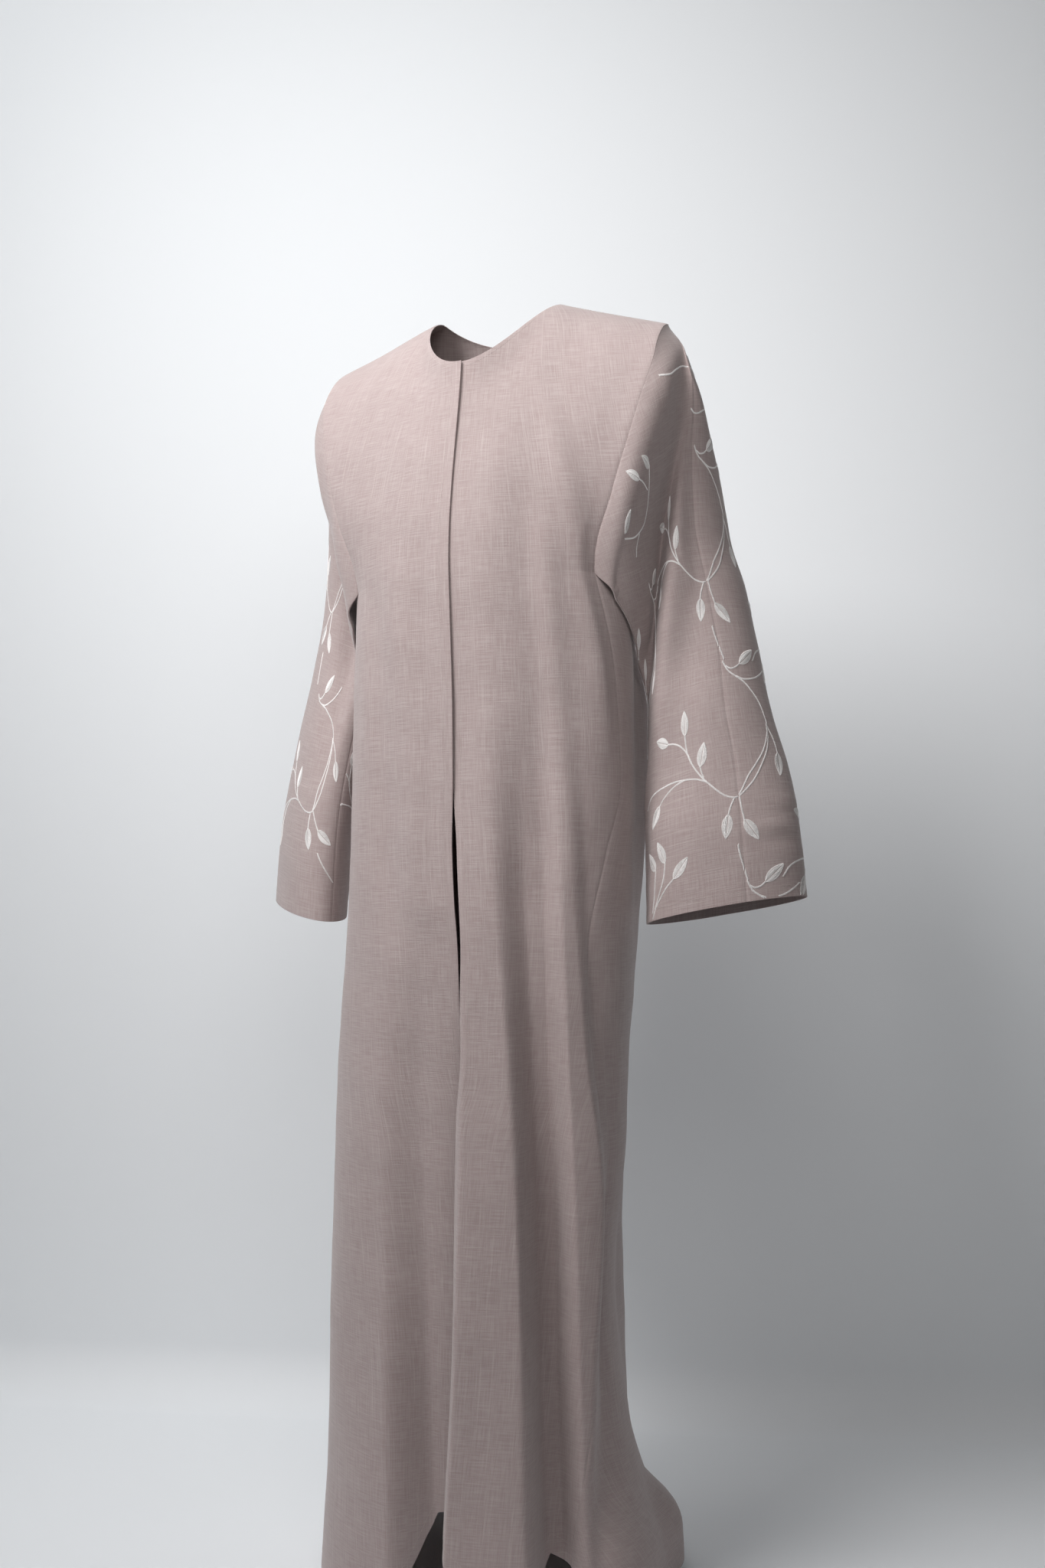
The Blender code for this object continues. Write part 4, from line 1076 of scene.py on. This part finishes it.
def splineThrough(points, pitch):
    # evenly spaced points and directions on a smooth line through a few given ones
    points = np.array(points, dtype=float)
    before, after = 2 * points[0] - points[1], 2 * points[-1] - points[-2]
    p = np.vstack([before, points, after])
    t = np.linspace(0, 1, threadSizes["splineSteps"], endpoint=False)[:, None]
    runs = [0.5 * (2 * p[k] + (p[k + 1] - p[k - 1]) * t
                   + (2 * p[k - 1] - 5 * p[k] + 4 * p[k + 1] - p[k + 2]) * t ** 2
                   + (3 * p[k] - p[k - 1] - 3 * p[k + 1] + p[k + 2]) * t ** 3)
            for k in range(1, len(p) - 2)]
    line = np.vstack(runs + [points[-1:]])
    length = np.concatenate([[0], np.cumsum(np.linalg.norm(np.diff(line, axis=0), axis=1))])
    at = np.arange(pitch / 2, length[-1], pitch)
    place, ahead, behind = (np.stack([np.interp(at + off, length, line[:, k]) for k in (0, 1)], -1)
                            for off in (0, pitch / 2, -pitch / 2))
    way = ahead - behind
    return place, way / np.linalg.norm(way, axis=1, keepdims=True)


def slanted(place, way, width, slant):
    # one stitch across the line at each place; ends, flat on the cloth
    aside = np.stack([-way[:, 1], way[:, 0]], -1)
    reach = (aside + way * slant) * width / 2
    return np.stack([place - reach, place + reach], 1)


def leafStitches(base, tip):
    # a slim leaf: two rows of satin from the midrib to the edge, and an outline
    sizes = threadSizes
    base, tip = np.array(base, dtype=float), np.array(tip, dtype=float)
    way = (tip - base) / np.linalg.norm(tip - base)
    aside = np.array([-way[1], way[0]])
    length = np.linalg.norm(tip - base)

    def halfWidth(share):
        share = np.clip(share, 0, 1)
        low, full = sizes["leafRound"]
        return sizes["leafWidth"] / 2 * np.sin(math.pi * share ** low) ** full

    at = np.arange(sizes["leafPitch"], length - sizes["leafPitch"], sizes["leafPitch"])
    stitches = []
    for hand in (1, -1):
        start = at - sizes["satinStart"]
        end = at + halfWidth(at / length) * sizes["satinLean"]
        inner = base + way * start[:, None] + aside * hand * sizes["midribGap"]
        outer = base + way * end[:, None] + aside * (hand * halfWidth(end / length))[:, None]
        stitches.append(np.stack([inner, outer], 1))
        share = np.linspace(0.0, 1.0, sizes["outlinePoints"])
        edge = base + way * (share * length)[:, None] + aside * (hand * halfWidth(share))[:, None]
        place, along = splineThrough(edge, sizes["vinePitch"])
        stitches.append(slanted(place, along, sizes["outlineWidth"], sizes["outlineSlant"] * hand))
    return np.concatenate(stitches)


# embroidery of the sleeves: one sprig, in millimetres on the flat cloth from the node where its
# vines meet; x runs forwards round the arm, y up it
sprigVines = {
    "main": ((-3, 0), (-9, 9), (-17, 22), (-29, 36), (-40, 50), (-48, 64), (-53, 77), (-52, 89),
             (-47, 104), (-38, 117), (-29, 127), (-18, 135), (-10, 142), (-5, 153)),
    "twin": ((-52, 80), (-50, 64), (-44, 49), (-34, 33), (-23, 17), (-13, 7), (-4, 0), (3, -1),
             (12, 3), (21, 11), (31, 22)),
    "top branch": ((-18, 135), (-29, 131), (-44, 133), (-58, 139), (-68, 145)),
    "top stem": ((-8, 147), (-13, 144), (-19, 145), (-25, 149)),
    "hanging stem": ((-53, 76), (-57, 66), (-59, 56), (-59, 45)),
    "up stem": ((31, 22), (38, 31), (44, 41), (49, 52), (52, 64), (53, 80)),
    "bud stem": ((47, 48), (52, 60), (60, 69), (70, 74), (82, 76)),
    "short stem": ((34, 27), (36, 34), (37, 41)),
    "side branch": ((31, 22), (43, 28), (58, 31), (74, 32), (92, 30), (109, 27), (124, 21),
                    (134, 10)),
    "side stem": ((58, 31), (71, 28), (82, 23), (91, 17), (98, 10)),
    "down stem": ((-4, -1), (-5, -14), (-7, -27)),
    "back stem": ((2, -2), (7, -11), (10, -19)),
    "long stem": ((2, -52), (1, -62), (-2, -76), (-6, -92)),
}
sprigLeaves = (((-25, 149), (-47, 166)), ((-59, 45), (-56, 19)), ((53, 80), (52, 107)),
               ((82, 76), (108, 83)), ((37, 41), (28, 66)), ((98, 10), (111, -13)),
               ((-7, -27), (-21, -50)), ((10, -19), (15, -44)))

# where the sprigs lie on each sleeve: x, y of the node in millimetres forwards from the overarm
# seam and up from the cuff, then 1 or -1 to face it forwards or back, and its turn in degrees
sprigPlaces = {
    "left": ((3, -130, 1, 0), (3, 115, 1, 0), (2, 362, 1, 0), (192, 235, 1, 0), (-176, 12, 1, 0),
             (-176, 258, 1, 0), (-172, 504, 1, 0)),
    "right": ((118, 128, -1, 24), (40, 372, -1, 0), (30, 610, -1, 0), (-70, 20, -1, 0),
              (-150, 250, -1, 0), (-140, 496, -1, 0), (-235, 110, -1, 0)),
}
# single vines and leaves that don't belong to a whole sprig
looseVines = {
    "left": (((80, 40), (90, 32), (99, 22), (107, 12), (112, 0)),
             ((92, 60), (94, 43), (100, 28), (108, 12)),
             ((109, 55), (108, 40), (109, 26), (112, 8)),
             ((143, 519), (146, 505), (152, 490), (162, 472), (176, 457), (205, 448), (236, 450)),
             ((181, 511), (166, 505), (155, 496)), ((212, 425), (205, 437), (190, 450)),
             ((88, 606), (62, 601), (34, 603), (6, 604), (-20, 597), (-42, 578), (-54, 552)),
             ((6, 556), (-4, 550), (-20, 556))),
    "right": (),
}
looseLeaves = {
    "left": (((80, 40), (62, 60)), ((92, 60), (104, 85)), ((109, 55), (128, 76)),
             ((143, 519), (166, 534)), ((181, 511), (205, 524)), ((236, 456), (214, 480)),
             ((-20, 597), (-8, 621)), ((-42, 578), (-66, 594)), ((-54, 552), (-50, 525))),
    "right": (),
}


def sprigStitches(place, hand, turn):
    c, s = math.cos(math.radians(turn)), math.sin(math.radians(turn))

    def laid(points):
        points = np.array(points, dtype=float) * (hand, 1)
        spun = np.stack([points[:, 0] * c - points[:, 1] * s, points[:, 0] * s + points[:, 1] * c], -1)
        return (spun + place) / 1000

    parts = [vineStitches(laid(line)) for line in sprigVines.values()]
    parts += [leafStitches(*laid(leaf)) for leaf in sprigLeaves]
    return np.concatenate(parts)


def vineStitches(line):
    place, way = splineThrough(line, threadSizes["vinePitch"])
    return slanted(place, way, threadSizes["vineWidth"], threadSizes["vineSlant"])


def embroider(side):
    sizes = threadSizes
    stitches = [sprigStitches((x, y), hand, turn) for x, y, hand, turn in sprigPlaces[side]]
    stitches += [vineStitches(np.array(line) / 1000) for line in looseVines[side]]
    stitches += [leafStitches(*(np.array(leaf) / 1000)) for leaf in looseLeaves[side]]
    stitches = np.concatenate(stitches)
    middle = stitches.mean(axis=1)
    for half, mine in (("front", middle[:, 0] > 0), ("back", middle[:, 0] <= 0)):
        panel = "sleeve_" + half + "_" + side
        ends = stitches[mine & (stitches[..., 1].min(axis=1) > sizes["edgeMargin"])]
        ends[..., 0] = np.abs(ends[..., 0])
        shares = np.linspace(0, 1, 3)[None, :, None]
        chain = ends[:, :1] * (1 - shares) + ends[:, 1:] * shares
        lift = np.array(sizes["satinArch"]) * sizes["satinLift"] + 0 * chain[..., 0]
        points, miss = onCloth(panel, "high", chain[..., 0], chain[..., 1], lift)
        fromTop = lengths[panel]["low"].max() - chain[..., 1].max(axis=1)
        edge = np.minimum(chain[..., 1].min(axis=1), fromTop)
        points = points[(miss.max(axis=1) < sizes["missLimit"]) & (edge > sizes["edgeMargin"])]
        name = "embroidery_" + half + "_" + side
        thread = threadObject(name, points, sizes["satinRadius"], sizes["satinUneven"], satinThread)
        threads[name] = (thread, panel)
        print("embroidery", panel, len(points), "stitches", len(thread.data.polygons), "faces")


# topstitching, for each panel: the edge that a row of stitches follows, how far in it lies, and the
# side where it starts, or "neck" for the neck's part of the edge
stitchRows = {
    "front_left": (("first", 0.0125, "low"), ("first", 0.002, "low"), ("low", 0.020, "first"),
                   ("high", 0.006, "neck")),
    "front_right": (("first", 0.0125, "low"), ("low", 0.020, "first"), ("high", 0.006, "neck")),
    "back": (("low", 0.020, "first"), ("high", 0.006, "neck")),
}
for name in sleeveNames:
    stitchRows[name] = (("high", 0.012, "first"),)


def topstitch(panel):
    sizes = threadSizes
    away = lengths[panel]
    rows = []
    for edge, inset, along in stitchRows[panel]:
        if edge == "first":
            start, short = sizes["edgeEnds"]
            end, tall = away["low"][-1, 0] - short, "low"
        elif along == "neck":
            top = surfaces[panel][0][-1]
            soFar = np.linalg.norm(np.diff(top, axis=0), axis=1).cumsum()
            reach = bodySizes["neckHalfWidth"] * sizes["neckReach"]
            inNeck = np.nonzero(np.hypot(*top[:, :2].T) < reach)[0]
            start, end = soFar[max(inNeck[0] - 1, 0)], soFar[min(inNeck[-1], len(soFar) - 1)]
            tall = "high"
        else:
            i = 0 if edge == "low" else -1
            start, end, tall = sizes["hemEnds"], away["first"][i].max() - sizes["hemEnds"], edge
        begin = np.arange(start, end - sizes["stitch"], sizes["stitch"] + sizes["gap"])
        run = begin[:, None] + np.linspace(0, sizes["stitch"], 3)[None, :]
        inward = np.full(run.shape, inset)
        across, up = (inward, run) if edge == "first" else (run, inward)
        lift = np.array(sizes["seamArch"]) * sizes["seamLift"] + 0 * run
        points, miss = onCloth(panel, tall, across, up, lift)
        rows.append(points[miss.max(axis=1) < sizes["missLimit"]])
    points = np.concatenate(rows)
    name = "topstitch_" + panel
    thread = threadObject(name, points, sizes["seamRadius"], sizes["seamUneven"], seamThread)
    threads[name] = (thread, panel)
    print("topstitch", panel, len(points), "stitches")


threadLook = {
    "satin": {"colour": (0.88, 0.86, 0.85, 1.0), "roughness": 0.40, "sheen": 0.2},
    "seam": {"colour": (0.47, 0.40, 0.385, 1.0), "roughness": 0.6, "sheen": 0.2},
}
satinThread = threadMaterial("satinThread", **threadLook["satin"])
seamThread = threadMaterial("seamThread", **threadLook["seam"])
threads = {}
for side in ("left", "right"):
    embroider(side)
for panel in stitchRows:
    topstitch(panel)

# stage
stageSizes = {
    "floor": -1.470,
    "wallPlace": (-0.23, 0.56),
    "wallTurn": 18,            # degrees from the x axis
    "sweep": 0.08,
    "halfWidth": 4.0,
    "front": 4.0,
    "top": 3.2,
    "sweepPoints": 17,
    "colour": (0.86, 0.885, 0.905, 1.0),
    "roughness": 0.9,
}


def backdrop():
    sizes = stageSizes
    turn = np.linspace(0, math.pi / 2, sizes["sweepPoints"])
    away = np.concatenate([[sizes["front"]], sizes["sweep"] * (1 - np.sin(turn)), [0.0]])
    rising = sizes["floor"] + sizes["sweep"] * (1 - np.cos(turn))
    z = np.concatenate([[sizes["floor"]], rising, [sizes["top"]]])
    wallTurn = math.radians(sizes["wallTurn"])
    cosine, sine = math.cos(wallTurn), math.sin(wallTurn)
    x, y = sizes["wallPlace"]
    points = [(x + cosine * u + sine * a, y + sine * u - cosine * a, b) for a, b in zip(away, z)
              for u in (-sizes["halfWidth"], sizes["halfWidth"])]
    faces = [(2 * i, 2 * i + 1, 2 * i + 3, 2 * i + 2) for i in range(len(away) - 1)]
    mesh = bpy.data.meshes.new("backdrop")
    mesh.from_pydata(points, [], faces)
    mesh.shade_smooth()
    material = bpy.data.materials.new("paleWall")
    material.use_nodes = True
    shader = material.node_tree.nodes["Principled BSDF"]
    shader.inputs["Base Color"].default_value = sizes["colour"]
    shader.inputs["Roughness"].default_value = sizes["roughness"]
    # the wall is one-sided, so that it hides nothing when the cloak is looked at from behind it
    tree = material.node_tree
    side = newNode(tree, "ShaderNodeNewGeometry").outputs["Backfacing"]
    clear = newNode(tree, "ShaderNodeBsdfTransparent")
    mixed = newNode(tree, "ShaderNodeMixShader")
    link(tree, side, mixed.inputs["Fac"])
    link(tree, shader.outputs["BSDF"], mixed.inputs[1])
    link(tree, clear.outputs["BSDF"], mixed.inputs[2])
    link(tree, mixed.outputs["Shader"], tree.nodes["Material Output"].inputs["Surface"])
    mesh.materials.append(material)
    thing = bpy.data.objects.new("backdrop", mesh)
    bpy.context.scene.collection.objects.link(thing)


backdrop()

lightSizes = {
    "key": {"place": (-0.4, -1.3, 0.8), "aim": (0.0, -0.10, -0.12), "size": 0.9, "spread": 110,
            "power": 12.5, "colour": (1.0, 0.985, 0.98)},
    "side": {"place": (0.8, -1.4, 0.35), "aim": (0.05, 0.0, -0.15), "size": 0.9, "spread": 110,
             "power": 3.2, "colour": (1.0, 0.98, 0.97)},
    "wash": {"place": (-1.4, -1.1, 2.0), "aim": (-0.8, 0.5, 0.4), "size": 1.8, "spread": 140,
             "power": 25.0, "colour": (0.98, 0.99, 1.0)},
}


def areaLight(name, place, aim, size, spread, power, colour):
    lamp = bpy.data.lights.new(name, "AREA")
    lamp.shape = "DISK"
    lamp.size, lamp.energy, lamp.color = size, power, colour
    lamp.spread = math.radians(spread)
    thing = bpy.data.objects.new(name, lamp)
    thing.location = place
    thing.rotation_mode = "QUATERNION"
    thing.rotation_quaternion = (Vector(aim) - Vector(place)).to_track_quat("-Z", "Y")
    bpy.context.scene.collection.objects.link(thing)


for name, values in lightSizes.items():
    areaLight(name, **values)

roomLight = {"colour": (0.88, 0.83, 0.81, 1.0), "strength": 0.05}
world = bpy.data.worlds.new("studio")
world.use_nodes = True
world.node_tree.nodes["Background"].inputs["Color"].default_value = roomLight["colour"]
world.node_tree.nodes["Background"].inputs["Strength"].default_value = roomLight["strength"]
bpy.context.scene.world = world
bpy.context.scene.view_settings.view_transform = "Standard"

cameraSizes = {
    "place": (0.81099, -1.66277, -0.67),
    "forward": (-0.42648, 0.90246, 0.06070),
    "lens": 36.39,
    "sensor": 36.0,
    "near": 0.05,
}
lens = bpy.data.cameras.new("camera")
lens.lens, lens.sensor_width, lens.clip_start = (cameraSizes[key] for key in ("lens", "sensor", "near"))
camera = bpy.data.objects.new("camera", lens)
camera.location = cameraSizes["place"]
camera.rotation_mode = "QUATERNION"
camera.rotation_quaternion = Vector(cameraSizes["forward"]).to_track_quat("-Z", "Y")
bpy.context.scene.collection.objects.link(camera)
bpy.context.scene.camera = camera
print("stage, lights and camera")

# each cloth panel and each thread piece hangs from the root body, and the frame's own part of each
# panel's name is hidden
for name, piece in pieces.items():
    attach(piece, "root")
    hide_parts(name)
for piece, panel in threads.values():
    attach(piece, "root")
